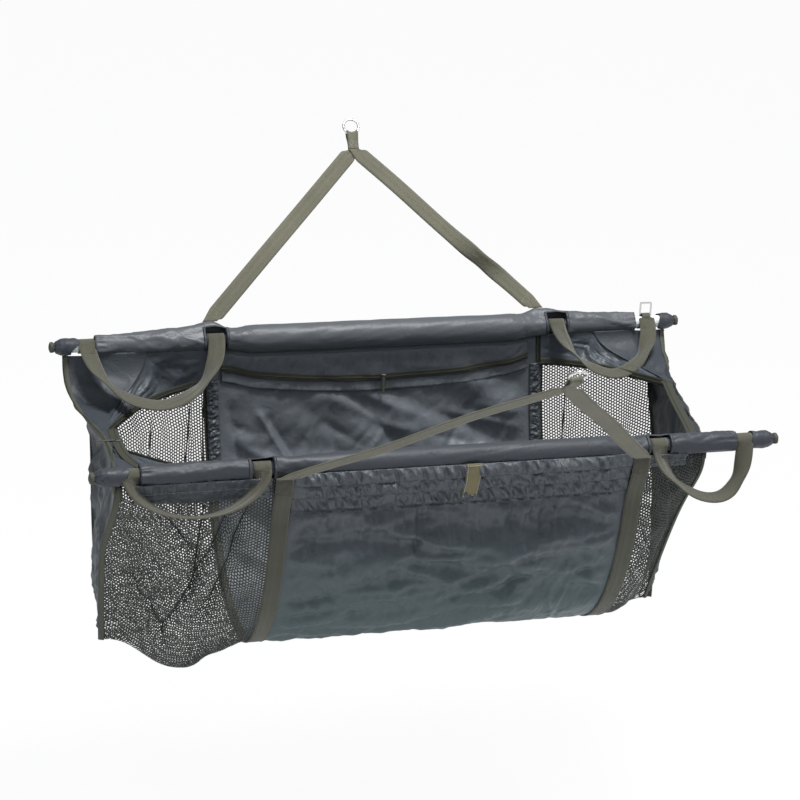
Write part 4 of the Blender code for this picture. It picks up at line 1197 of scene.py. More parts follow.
@dataclass
class Sleeve:
    """The cloth tube round one pole, with the windows of its handles and its end pockets."""

    line: PoleLine
    windows: tuple[float, float]
    crumple: Crumple
    overhang: float = 0.0084
    steps: tuple[int, int] = (331, 72)
    outer_fall: float = 0.26
    inner_fall: float = 0.026
    narrowing: float = 0.030
    liner_radius: float = 0.01115
    liner_cloth: float = 0.0002
    cuff_radius: float = 0.0119
    cuff_span: tuple[float, float] = (0.0150, 0.0290)
    hem_width: float = 0.005
    tip_cloth: float = 0.0008

    def peaks(self, x: Array, angle: Array) -> Array:
        """How far the rear hanger draws the tube up.

        Each foot adds the reach over the tube's radius, times a fall with the distance along
        (slow on the outer side, fast on the inner), times a power of the cosine of the angle
        from the hanger's pull, which is narrow at the foot and wide away from it.

        Args:
            x: Places along the sling.
            angle: Angles round the pole.

        Returns:
            Lengths to add to the radius.
        """
        total = np.zeros(np.broadcast(x, angle).shape)
        if self.line is FRONT:
            return total
        for end in (-1, 1):
            past = (x - self.line.strap_place(end)) * end
            outer = (1 - np.clip(past / self.outer_fall, 0, 1)) ** 2.4
            inner = np.exp(-((past / self.inner_fall) ** 2))
            fall = np.where(past > 0, outer, inner)
            power = 3 + 9 * np.exp(-np.abs(past) / self.narrowing)
            toward = np.clip(np.cos(angle - (math.pi / 2 - SIZES.peak_lean)), 0, 1) ** power
            total = total + (SIZES.peak_reach - self.line.radius(x)) * toward * fall
        return total

    def relief(self, x: Array, angle: Array) -> Array:
        """Creases of the tube: low over the float, deeper beyond it, and none under the tube."""
        line = self.line
        past = np.abs(x - line.foam_shift) - SIZES.foam_length / 2
        loose = eased((past + 0.02) / 0.05)
        slack = self.crumple.at(x, angle * 0.03)
        pull = noise(x / 0.075 + angle * 0.9, angle / 1.3, self.crumple.seed + 3)
        value = slack * (0.10 + 0.80 * loose) + 0.0009 * np.abs(pull) * (1 - 0.3 * loose)
        ends = np.abs(np.abs(x) - SIZES.sleeve_length / 2)
        gather = 0.0010 * np.cos(angle * 11) * np.exp(-ends / 0.010)
        below = np.abs(angle + math.pi / 2)
        below = np.minimum(below, TAU - below)
        return (np.maximum(value, -0.0006) + gather) * eased((below - 0.35) / 0.7)

    def build(self) -> None:
        """Makes the tube, the hems and cuffs of its windows, and its pockets."""
        line, s = self.line, SIZES
        half = s.sleeve_length / 2 + self.overhang
        edges = [place + side * s.window_length / 2 for place in self.windows for side in (-1, 1)]
        right_half = half if line is FRONT else s.sleeve_length / 2
        x = np.linspace(-half, right_half, self.steps[0])
        x = np.unique(np.concatenate([x, edges]).round(6))
        angle = -math.pi / 2 + np.arange(self.steps[1]) * TAU / self.steps[1]
        grid_x, grid_angle = np.meshgrid(x, angle, indexing="ij")
        radius = line.radius(grid_x) + self.peaks(grid_x, grid_angle) + self.relief(grid_x, grid_angle)
        points = self.round_pole(grid_x, radius, grid_angle)
        middle = (x[:-1] + x[1:]) / 2
        turn = angle + TAU / self.steps[1] / 2
        in_window = np.zeros((len(middle), len(turn)), bool)
        for place in self.windows:
            open_to = -0.72 if line is REAR else -1.0
            in_window |= ((np.abs(middle - place) < s.window_length / 2)[:, None]
                          & ((np.cos(turn) < -0.02) & (np.sin(turn) > open_to))[None, :])
        # The rear sleeve takes the lighter copy of the nylon, painted light from above, and the front sleeve
        # the darker one, painted shade.
        sheet(f"{line.name}_sleeve_cloth", points, s.cloth,
              LIT_REAR_SLEEVE_NYLON if line is REAR else SHADED_SLEEVE_NYLON, line.carrier, f"{line.name}_sleeve",
              ("stretched", f"{line.name}_float", f"{line.name}_pole"), ring=True, keep=~in_window)
        self.window_hems(radius, x, angle)
        self.cuffs()
        for end, label in BOTH_ENDS:
            self.pocket(end, label)

    def round_pole(self, x: Array, radius: Array, angle: Array) -> Array:
        """Points round the pole's axis: the radius times the cosine and sine of the angle."""
        x, radius, angle = np.broadcast_arrays(x, radius, angle)
        return np.stack([x, self.line.axis_y + radius * np.cos(angle),
                         self.line.axis_z + radius * np.sin(angle)], -1)

    def cuffs(self) -> None:
        """Dark liners and inner cuffs round the pole, either side of the webbing at each window."""
        line = self.line
        angle = (np.arange(32) * TAU / 32)[None, :]
        loops = [end * SIZES.handle_outer_place for end in (-1, 1)] if line is FRONT else []
        for number, place in enumerate([*self.windows, *loops]):
            under = place + np.linspace(-self.cuff_span[1], self.cuff_span[1], 4)[:, None]
            liner = self.round_pole(under, self.liner_radius, angle)
            sheet(f"{line.name}_liner_{number}", liner, self.liner_cloth, SHADED_SLEEVE_NYLON, line.carrier,
                  ring=True)
            for side in (-1, 1):
                along = place + side * np.linspace(*self.cuff_span, 6)[:, None]
                cuff = self.round_pole(along, self.cuff_radius + 0.0003 * np.sin(along * 900), angle)
                sheet(f"{line.name}_cuff_{number}_{self.facing(side, place)}", cuff, NET_CLOTH,
                      SHADED_SLEEVE_NYLON, line.carrier, ring=True)

    @staticmethod
    def facing(side: int, place: float) -> str:
        """Which side of a window this is, seen from the middle of the sling."""
        return "inner" if side * place < 0 else "outer"

    def window_hems(self, radius: Array, x: Array, angle: Array) -> None:
        """Narrow turned hems along the two cut ends of each window."""
        front = np.cos(angle) < 0.05
        turned = angle[front]
        for number, place in enumerate(self.windows):
            for side in (-1, 1):
                at = place + side * SIZES.window_length / 2
                row = int(np.argmin(np.abs(x - at)))
                size = radius[row][front]
                reach = np.linspace(0, self.hem_width, 4)[:, None] * side
                lift = 0.0007 + 0.0012 * np.sin(np.linspace(0, math.pi, 4))[:, None]
                hem = self.round_pole(at + reach, size[None, :] + lift, turned[None, :])
                sheet(f"{self.line.name}_window_hem_{number}_{self.facing(side, place)}", hem, HEM_CLOTH,
                      SHADED_SLEEVE_NYLON, self.line.carrier)

    def pocket(self, end: int, label: str) -> None:
        """A pocket over the pole's end, with a slanting mouth, pleats and a rolled hem.

        Its radius swells from the mouth, falls to the neck and swells again round the hem. The
        mouth's place along the pole follows the cosine of the angle, which slants it, and near
        the neck pleats add a cosine of nine times the angle.

        Args:
            end: -1 at the left, 1 at the right.
            label: The end's name.
        """
        line, s = self.line, SIZES
        tip = s.sling_length / 2
        share = np.linspace(0, 1, 46)[:, None]
        angle = (-math.pi / 2 + np.arange(48) * TAU / 48)[None, :]
        slant = 0.0150 * np.clip(np.cos(angle - 2.2), 0, 1) ** 2 if end < 0 else 0.004 * np.cos(angle) ** 2
        start = s.pocket_length + slant + (0.011 if line is FRONT else 0.0)
        along = start * (1 - share)
        knots = np.array([0, 0.0012, 0.0040, 0.0070, 0.0092, 0.0118, 0.0200, 0.0290, 0.0380, 0.0540])
        sizes = np.array([0.0040, 0.0074, 0.0084, 0.0082, 0.0064, 0.0098, 0.0142, 0.0150, 0.0143, 0.0150])
        radius = np.interp(along, knots, sizes)
        pleat = 0.0009 * np.cos(9 * angle + 2 * end) * np.exp(-(((along - 0.011) / 0.008) ** 2))
        soft = 0.0009 * noise(along / 0.012, angle * 1.2, 60 + end) * eased((along - 0.014) / 0.01)
        points = self.round_pole(end * (tip - along), radius + pleat + soft, angle)
        sheet(f"{line.name}_pocket_cloth_{label}", points, HEM_CLOTH, SHADED_SLEEVE_NYLON, line.carrier,
              f"{line.name}_pocket_{label}", ("gathered", f"{line.name}_pole"), ring=True)
        wrap = np.linspace(0, TAU, 33)[:-1][None, :]
        bend = np.linspace(0, TAU, 13)[:, None]
        ring_size = 0.0086 + 0.0012 * np.sin(bend) + 0.0004 * np.cos(5 * wrap)
        hem = self.round_pole(end * (tip - (0.0045 + 0.0033 * np.cos(bend))), ring_size, wrap)
        sheet(f"{line.name}_pocket_hem_{label}", hem, 0.0, BINDING, line.carrier, ring=True)
        cap = self.round_pole(end * (tip - 0.0008), np.array([[0.0045], [0.0022], [0.0002]]), wrap)
        sheet(f"{line.name}_pocket_tip_{label}", cap, self.tip_cloth, SHADED_SLEEVE_NYLON, line.carrier, ring=True)


# Ends: gussets, decks and their zips


@dataclass
class EndCloth:
    """The gusset that closes one end, the deck over it, its binding and its zip."""

    end: int
    label: str
    crumple: Crumple
    zip_reach: float
    level: float
    draw: float
    sides_count: int = 97
    zip_margin: float = 0.010
    deck_lift: float = 0.0004
    binding_lift: float = 0.0014
    tape_edge: float = 0.004
    tape_lift: float = 0.0012
    tape_crown: float = 0.0012
    teeth_lift: float = 0.0030
    seam_inset: float = 0.007
    seam_lift: float = 0.0009

    @property
    def sides(self) -> Array:
        """Places across, from -1 at the front to 1 at the rear, closest together at both ends."""
        return np.sin(np.linspace(-math.pi / 2, math.pi / 2, self.sides_count))

    def outward(self, points: Array) -> Array:
        """The unit normals of the cloth's grid, turned out of the sling."""
        normal = surface_normals(points)
        return normal * np.sign((normal[..., 0] * self.end).mean())

    def deck_rows(self, sides: Array, step: Array) -> Array:
        """Lines of the deck, from its outer edge at step 0 to its zip at step 1.

        Between the poles a line falls to the mouth's level as the root of 1 less the place
        across to the fourth power. The zip's line bows outwards as 1 less that place cubed, and
        the outer edge is drawn in most between the poles.

        Args:
            sides: Places across, from -1 at the front to 1 at the rear.
            step: Steps inwards.

        Returns:
            The points, one for each pair.
        """
        s = SIZES
        half_step = np.minimum(1, 2 * step)
        below = math.pi / 2 + (s.deck_slope - math.pi / 2) * half_step
        under = s.pocket_radius + s.wall_cloth / 2 + s.seam_gap
        beside = s.sleeve_end_radius + s.wall_cloth / 2 + s.seam_gap
        off = under + (beside - under) * half_step
        attached = np.where(sides > 0, REAR.axis_z, FRONT.axis_z) - off * np.sin(below)
        flat = np.sqrt(np.clip(1 - np.abs(sides) ** 4, 0, 1))
        zip_x = s.zip_sleeve_place + (s.zip_meeting_place - s.zip_sleeve_place) * (1 - np.abs(sides) ** 3)
        drawn = REAR.pull(self.end, 0.0) * (1 + sides) / 2 + FRONT.pull(self.end, 0.0) * (1 - sides) / 2
        outer = s.end_top + s.end_lap - drawn - self.draw * (1 - sides**2) ** 2
        zip_x = np.minimum(zip_x, outer - self.zip_margin)
        x = self.end * (outer + (zip_x - outer) * step)
        y = sides * (s.half_mouth - off * np.cos(below))
        return np.stack([x, y, attached + (-self.level - attached) * flat], -1)

    def surface(self) -> tuple[Array, int]:
        """The creased gusset and deck.

        The gusset runs straight between the two walls' edges and bows outwards as 1 less the
        place across squared, times a sine of the depth. The deck goes on from its top.

        Returns:
            The grid, from the gusset's foot to the zip, and the row where the deck starts.
        """
        s, end, sides = SIZES, self.end, self.sides
        share = ((sides + 1) / 2)[None, :, None]
        depth = steps_down(90)
        depth = depth[depth < 0.97]
        front = FRONT.wall(2 * end, depth, s.mesh_cloth)[:, None, :]
        rear = REAR.wall(2 * end, depth, s.mesh_cloth)[:, None, :]
        wall = front * (1 - share) + rear * share
        down = depth[:, None]
        spread = (1 - sides**2)[None, :]
        wall[..., 0] += end * (s.end_lap + s.gusset_bulge * spread * np.sin(math.pi * down**0.6))
        step = np.linspace(0.02, 1, 44)[:, None]
        deck = self.deck_rows(sides[None, :], step)
        first = self.deck_rows(sides[None, :], np.zeros((1, 1)))[0]
        wall[..., 0] += (first[:, 0] - wall[0, :, 0]) * (1 - down) ** 3
        wall[:, 1:-1, 1] += (deck[0, 1:-1, 1] - wall[0, 1:-1, 1]) * (1 - down) ** 6
        wall[..., 2] += (first[:, 2] - wall[0, :, 2]) * (1 - down) ** 2
        points = np.concatenate([wall[::-1], deck])
        corner = len(depth)
        height = self.crumple.at(arc_lengths(points, 0) + 0.3 * (end + 1), arc_lengths(points, 1))
        edge = eased((1 - np.abs(sides)) / 0.22)[None, :]
        rows = np.arange(len(points))[:, None]
        at_zip = eased((len(points) - 1 - rows) / 10)
        at_corner = 0.35 + 0.65 * eased(np.abs(rows - corner) / 9)
        lift = height * edge * at_zip * eased(rows / 8) * at_corner
        lift = np.where(rows >= corner, np.minimum(lift, self.deck_lift), lift)
        return points + self.outward(points) * lift[..., None], corner

    def build(self) -> None:
        """Makes the cloth, the binding over its edge, the zip tape and its teeth."""
        label = self.label
        points, corner = self.surface()
        # The gusset and deck take the darker copy of the nylon: painted shade.
        sheet(f"{label}_end_cloth", points, SIZES.cloth, SHADED_END_NYLON, Carrier.ENDS, f"{label}_gusset",
              ("hung", "rear_pocket_cloth_" + label, "front_pocket_cloth_" + label))
        over = points + self.outward(points) * self.binding_lift
        sheet(f"{label}_edge_binding", over[corner - 2:corner + 3], self.binding_lift, BINDING,
              Carrier.ENDS)
        self.zip(points[-1][self.sides < self.zip_reach])

    def zip(self, edge: Array) -> None:
        """The tape along the deck's edge, its teeth and the row of stitches beside them."""
        s, label, inward = SIZES, self.label, self.end * ALONG
        reach = np.linspace(-self.tape_edge, s.zip_width, 8)
        turn = np.clip((reach - s.zip_width / 2) / s.zip_width, -0.5, 0.5) * math.pi
        crown = self.tape_crown * np.cos(turn)
        tape = np.stack([edge - inward * (s.seam_gap + gone) + (self.tape_lift + rise) * UP
                         for gone, rise in zip(reach, crown)])
        sheet(f"{label}_zip_cloth", tape, THIN_CLOTH, ZIP_TAPE, Carrier.ENDS, f"{label}_zip_tape")
        middle = edge - inward * s.zip_width * 0.55 + self.teeth_lift * UP
        COIL.sew(f"{label}_zip_teeth", [middle], [UP], TEETH, Carrier.ENDS)
        seam = edge + inward * self.seam_inset + self.seam_lift * UP
        THREAD.sew(f"{label}_deck_stitches", [seam], [UP], DARK_THREAD, Carrier.ENDS)


# Flaps at the mouth's corners and strips under the sleeves' ends


@dataclass
class CornerFlap:
    """A flap between a sleeve and the deck's zip, with its own length of zip."""

    name: str
    cloth: EndCloth
    line: PoleLine
    strap_depth: float
    strap_across: float
    meets: float
    arch: tuple[float, float]
    seed: int
    thickness: float = 0.0012
    clearance: float = 0.0014
    wall_inset: float = 0.013
    tape_span: tuple[float, float] = (-0.005, 0.009)

    def build(self) -> None:
        """Makes the cloth, ruled from the sleeve and the deck's edge to an arched free line.

        The fixed line runs under the sleeve and on along the deck's zip. The free line is
        straight between the wall and the zip, plus an arch of 4 times the share run through
        times the share left.
        """
        end, side = self.cloth.end, self.line.side
        places = np.linspace(self.strap_across, 1.45, 30)
        x = self.line.wall(end * places, 0.0)[:, 0]
        reach = self.line.radius(x) + self.clearance
        top = np.stack([x, self.line.axis_y - side * 0.62 * reach, self.line.axis_z - 0.78 * reach], -1)
        deck = self.cloth.deck_rows(np.linspace(side * 0.999, side * self.meets, 60), np.ones(60))
        deck = deck + np.array([end * 0.006, 0, -0.0030])
        top = top[np.abs(top[:, 0]) < abs(deck[0, 0])]
        fixed = resampled(np.concatenate([top, deck]), 0.004)
        count = len(fixed)
        share = np.linspace(0, 1, count)[:, None]
        first = self.line.wall(end * self.strap_across, self.strap_depth) - side * self.wall_inset * REARWARD
        free = first * (1 - share) + deck[-1] * share
        free = free + 4 * share * (1 - share) * np.array([0, side * self.arch[0], self.arch[1]])
        down = np.linspace(0, 1, 30)[None, :, None]
        grid = fixed[:, None, :] * (1 - down) + free[:, None, :] * down
        u, v = share * 0.25, down[..., 0] * 0.10
        crease = Crumple(size=0.060, height=0.0075, seed=self.seed, stretch=1.7, sharp=0.03, lean=0.9)
        edge = np.sin(math.pi * down[..., 0]) ** 0.7 * np.sin(math.pi * share) ** 0.5
        grid = grid + surface_normals(grid) * (crease.at(u, v) * edge)[..., None]
        sheet(f"{self.name}_flap", grid, self.thickness, NYLON, Carrier.ENDS,
              held=("hung", f"{self.line.name}_sleeve_cloth"))
        inward = unit(np.cross(np.gradient(free, axis=0), UP))
        inward = inward * np.sign((inward * -side * REARWARD).sum(-1, keepdims=True))
        tape = np.stack([free + inward * 0.0012 - UP * low for low in np.linspace(*self.tape_span, 6)])
        sheet(f"{self.name}_flap_tape", tape, THIN_CLOTH, ZIP_TAPE, Carrier.ENDS)
        COIL.sew(f"{self.name}_flap_teeth", [free + inward * 0.0030 - UP * 0.003], [-side * REARWARD],
                 TEETH, Carrier.ENDS)


@dataclass
class SleeveStrip:
    """A gathered strip of cloth that hangs from the front sleeve's end over the top of the net."""

    label: str
    end: int
    reach: float
    outermost: float
    seed: int
    innermost: float = 1.07
    base_lift: float = 0.0025
    least_lift: float = 0.0012
    puff: float = 0.0060
    ruffle: float = 0.0034
    flare: float = 0.0125
    flare_rise: float = 0.0075

    def build(self) -> None:
        """Makes the strip and the stitches along it.

        It stands off the net by a puff that is the root of 4 times its share down times the
        rest, and by noise that is narrow along the strip.
        """
        across = self.end * np.linspace(self.innermost, self.outermost, 150)[:, None]
        share = np.linspace(0, 1, 30)[None, :]
        depth = 0.002 + self.reach * share
        x = FRONT.wall(across, depth)[..., 0]
        puff = self.puff * np.sqrt(4 * share * (1 - share) + 1e-9)
        fine = noise(x / 0.012, share * 2.6, self.seed)
        fine = fine + 0.5 * noise(x / 0.0055, share * 5.0, self.seed + 1)
        wide = noise(x / 0.05, share * 1.5, self.seed + 2)
        lift = self.base_lift + puff * (1 + 0.4 * wide) + self.ruffle * fine * (1 - share * 0.4)
        lift = np.maximum(lift + self.flare * (1 - share) ** 5, self.least_lift)
        points = FRONT_WALL.at(across, depth, lift=lift, creased=0.3)
        points[..., 2] += self.flare_rise * (1 - share) ** 5
        sheet(f"front_strip_{self.label}", points, THIN_CLOTH, LIT_GATHER_NYLON, Carrier.FRONT,
              held=("gathered", "front_sleeve_cloth"))
        row = int(len(share[0]) * 0.36)
        THREAD.sew(f"front_strip_stitches_{self.label}", [points[:, row] + 0.0012 * FORWARD], [FORWARD],
                   PALE_THREAD, Carrier.FRONT)


# Linings inside the rear wall


@dataclass
class RearLining:
    """The pleated facing inside the rear wall, its zip, and the gathered strips beside the net."""

    form: WallForm = REAR_WALL
    reach: float = 0.94
    side_depth: float = 0.070
    middle_depth: float = 0.135
    top_depth: float = 0.015
    below_zip: float = 0.045
    cloth_lift: float = 0.0032
    tape_lift: float = 0.0072
    stitch_lift: float = 0.0082
    teeth_lift: float = 0.0086
    wide_pleat: float = 0.0026
    fine_pleat: float = 0.0016
    ruche_half: float = 0.013
    ruche_span: tuple[float, float] = (0.12, 0.62)
    ruche_puff: float = 0.0040

    def zip_depth(self, across: Array) -> Array:
        """How deep the zip lies: deepest in the middle, as 1 less the place across squared."""
        return self.side_depth + (self.middle_depth - self.side_depth) * (1 - across**2)

    def build(self) -> None:
        """Makes the facing, the tape, its teeth and the strips."""
        across = np.linspace(-self.reach, self.reach, 301)[:, None]
        middle = self.zip_depth(across)
        tape_half = SIZES.zip_width / 2 / SIZES.bag_depth
        foot = middle + tape_half + self.below_zip
        share = np.linspace(0, 1, 26)[None, :]
        depth = self.top_depth + (foot - self.top_depth) * share
        x = across * SIZES.strap_span / 2
        pleat = self.wide_pleat * np.abs(noise(x / 0.030 + 1.2 * share, share * 1.3, 21))
        pleat = pleat + self.fine_pleat * np.abs(noise(x / 0.011 + share, share * 2.0, 22))
        pleat = pleat * eased(share / 0.1) * (0.35 + 0.65 * np.abs(share - 0.72) / 0.28)
        points = self.form.at(across, depth, lift=-(self.cloth_lift + pleat), creased=0.5)
        # The facing takes the lighter copy of the nylon: painted light against its shade.
        sheet("rear_facing_cloth", points, THIN_CLOTH, LIT_REAR_WALL_NYLON, Carrier.BAG, "rear_facing",
              ("hung", "rear_sleeve_cloth"))
        spread = tape_half * np.linspace(-1, 1, 7)[None, :]
        tape = self.form.at(across, middle + spread, lift=-self.tape_lift, creased=0.5)
        sheet("rear_zip_cloth", tape, THIN_CLOTH, ZIP_TAPE, Carrier.BAG, "rear_zip_tape")
        line = self.form.at(across, middle, lift=-self.teeth_lift, creased=0.5)[:, 0]
        COIL.sew("rear_zip_teeth", [line], [FORWARD], TEETH, Carrier.BAG)
        for side, label in ((-1, "above"), (1, "below")):
            beside = middle + side * tape_half * 0.8
            row = self.form.at(across, beside, lift=-self.stitch_lift, creased=0.5)
            THREAD.sew(f"rear_zip_stitches_{label}", [row[:, 0]], [FORWARD], DARK_THREAD, Carrier.BAG)
        for end, label in BOTH_ENDS:
            self.ruche(end, label)

    def ruche(self, end: int, label: str) -> None:
        """A gathered strip over the seam between panel and net, drawn into small cross puckers."""
        depth = np.linspace(*self.ruche_span, 190)[None, :]
        share = np.linspace(-1, 1, 22)[:, None]
        half = self.ruche_half / (SIZES.strap_span / 2)
        across = end + half * share
        wave = noise(depth * 62 + share * 0.8, share * 1.1, 71 + end)
        fine = noise(depth * 120, share * 2.1, 75 + end)
        puff = self.ruche_puff * (1 - share**2) ** 0.5
        puff = puff + (0.0030 * wave + 0.0015 * fine) * (1 - share**4)
        points = self.form.at(across, depth, lift=-(self.cloth_lift + np.maximum(puff, 0)), creased=0.0)
        sheet(f"ruche_cloth_{label}", points, THIN_CLOTH, LIT_GATHER_NYLON, Carrier.BAG,
              f"ruched_strip_{label}", ("gathered", "rear_panel_cloth"))


# The gathered band on the front


@dataclass
class FrontBand:
    """The gathered band under the front sleeve, its rows of stitches, its tab and the zip behind."""

    height: float = 0.074
    tab_place: float = 0.040
    tab_width: float = 0.0260
    tab_height: float = 0.0660
    tab_cloth: float = 0.0020
    tab_lift: float = 0.0072
    border: float = 0.045
    border_lift: float = 0.0084
    end_gap: float = 0.0158
    stitch_levels: tuple[float, ...] = (1 / 3, 2 / 3, 0.985)
    stitch_lift: float = 0.0024
    puff: float = 0.0042
    slant_puff: float = 0.0105
    cross_puff: float = 0.0042
    rib: float = 0.0024
    least_calm: float = 0.3

    def path(self, x: Array, share: Array, lift: Any) -> Array:
        """Points of the band, from the sleeve's front down to the wall, plus a lift outwards."""
        s = SIZES
        radius = FRONT.radius(x)
        past = eased((share - 0.15) / 0.85)
        settled = s.wall_cloth / 2 + (radius - s.wall_cloth / 2) * (1 - past)
        z = FRONT.axis_z - radius / 4 - share * self.height
        return np.stack([x, -s.half_mouth - settled - s.seam_gap - lift, z], -1)

    def channels(self, x: Array, share: Array) -> Array:
        """How far the gathered cloth puffs out.

        Three channels, as the size of the sine of three half turns down the band, times slanting
        puckers from noise stretched along a diagonal, with small straight ones by the stitches.

        Args:
            x: Places along the sling.
            share: Shares of the way down the band.

        Returns:
            Lengths outwards.
        """
        channel = np.abs(np.sin(3 * math.pi * share))
        slant = noise((x - share * 0.034) / 0.0130, share * 2.4 + x / 0.2, 33)
        cross = noise((x - share * 0.012) / 0.0062, share * 4.0, 34)
        puff = self.puff + self.slant_puff * slant + self.cross_puff * cross
        rib = self.rib * noise(x / 0.0045, share * 6.0, 35) * (1 - channel)
        left_over = SIZES.strap_span / 2 - np.abs(x - FRONT.strap_shift)
        calm = self.least_calm + (1 - self.least_calm) * eased((left_over - 0.018) / 0.035)
        return calm * (np.clip(channel**0.7 * puff, 0, None) + np.abs(rib))

    def build(self) -> None:
        """Makes the band, its stitches, the tab and the front zip tape."""
        s = SIZES
        reach = 1 - self.end_gap / (s.strap_span / 2)
        x = FRONT.strap_place(np.linspace(-reach, reach, 521))[:, None]
        share = np.linspace(0, 1.06, 67)[None, :]
        x, share = np.broadcast_arrays(x, share)
        points = self.path(x, share, 0.0010 + self.channels(x, share))
        # The band takes the lighter copy of the nylon: painted light for the highlights on its gathers.
        sheet("front_gathered_band", points, THIN_CLOTH, LIT_GATHER_NYLON, Carrier.FRONT,
              "front_ruched_band", ("gathered", "front_sleeve_cloth"))
        line = x[:, 0]
        rows = [self.path(line, np.full_like(line, level), self.stitch_lift)
                for level in self.stitch_levels]
        THREAD.sew("band_stitches", rows, [FORWARD] * 3, DARK_THREAD, Carrier.FRONT)
        self.tab()
        reach = s.zip_sleeve_place - s.zip_width
        x = np.linspace(-reach, reach, 201)[:, None]
        drop = np.linspace(-0.001, s.zip_width, 7)[None, :]
        x, drop = np.broadcast_arrays(x, drop)
        bow = 0.0010 * np.abs(noise(x / 0.06, drop * 10, 51))
        tape = np.stack([x, -s.half_mouth + FRONT.radius(x) + 0.0022 + bow, FRONT.axis_z - drop], -1)
        sheet("front_zip_cloth", tape, THIN_CLOTH, ZIP_TAPE, Carrier.FRONT, "front_zip_tape")
        COIL.sew("front_zip_teeth", [tape[:, 3] + 0.0016 * REARWARD], [REARWARD], TEETH, Carrier.FRONT)

    def tab(self) -> None:
        """The closing tab: a strip of hook cloth with rounded corners and a pale sewn border."""
        start, full = -0.03, self.tab_height / self.height
        share = np.linspace(start, full + start, 33)[None, :]
        side = np.linspace(-1, 1, 17)[:, None]
        x, share = np.broadcast_arrays(self.tab_place + self.tab_width / 2 * side, share)
        edge = np.maximum(np.abs(side), np.abs(share - share.mean()) / (full / 2))
        lift = self.tab_lift - 0.0012 * eased((edge - 0.86) / 0.14)
        lift = lift + 0.0006 * noise(x / 0.012, share * 4, 17)
        points = self.path(x, share, lift)
        sheet("closure_tab_cloth", points, self.tab_cloth, HOOK, Carrier.FRONT, "closure_tab",
              ("laid", "front_gathered_band"))
        low, high = start + self.border, full + start - self.border
        left, right = self.tab_place - self.tab_width * 0.43, self.tab_place + self.tab_width * 0.43
        corners = np.array([(left, low), (right, low), (right, high), (left, high), (left, low)])
        t = np.linspace(0, 1, 20)[:, None]
        sides = [first + (second - first) * t for first, second in zip(corners, corners[1:])]
        rows = [self.path(*places.T, np.full(20, self.border_lift)) for places in sides]
        TAB_THREAD.sew("tab_stitches", rows, [FORWARD] * 4, PALE_THREAD, Carrier.FRONT)


# Hangers, rings and handles


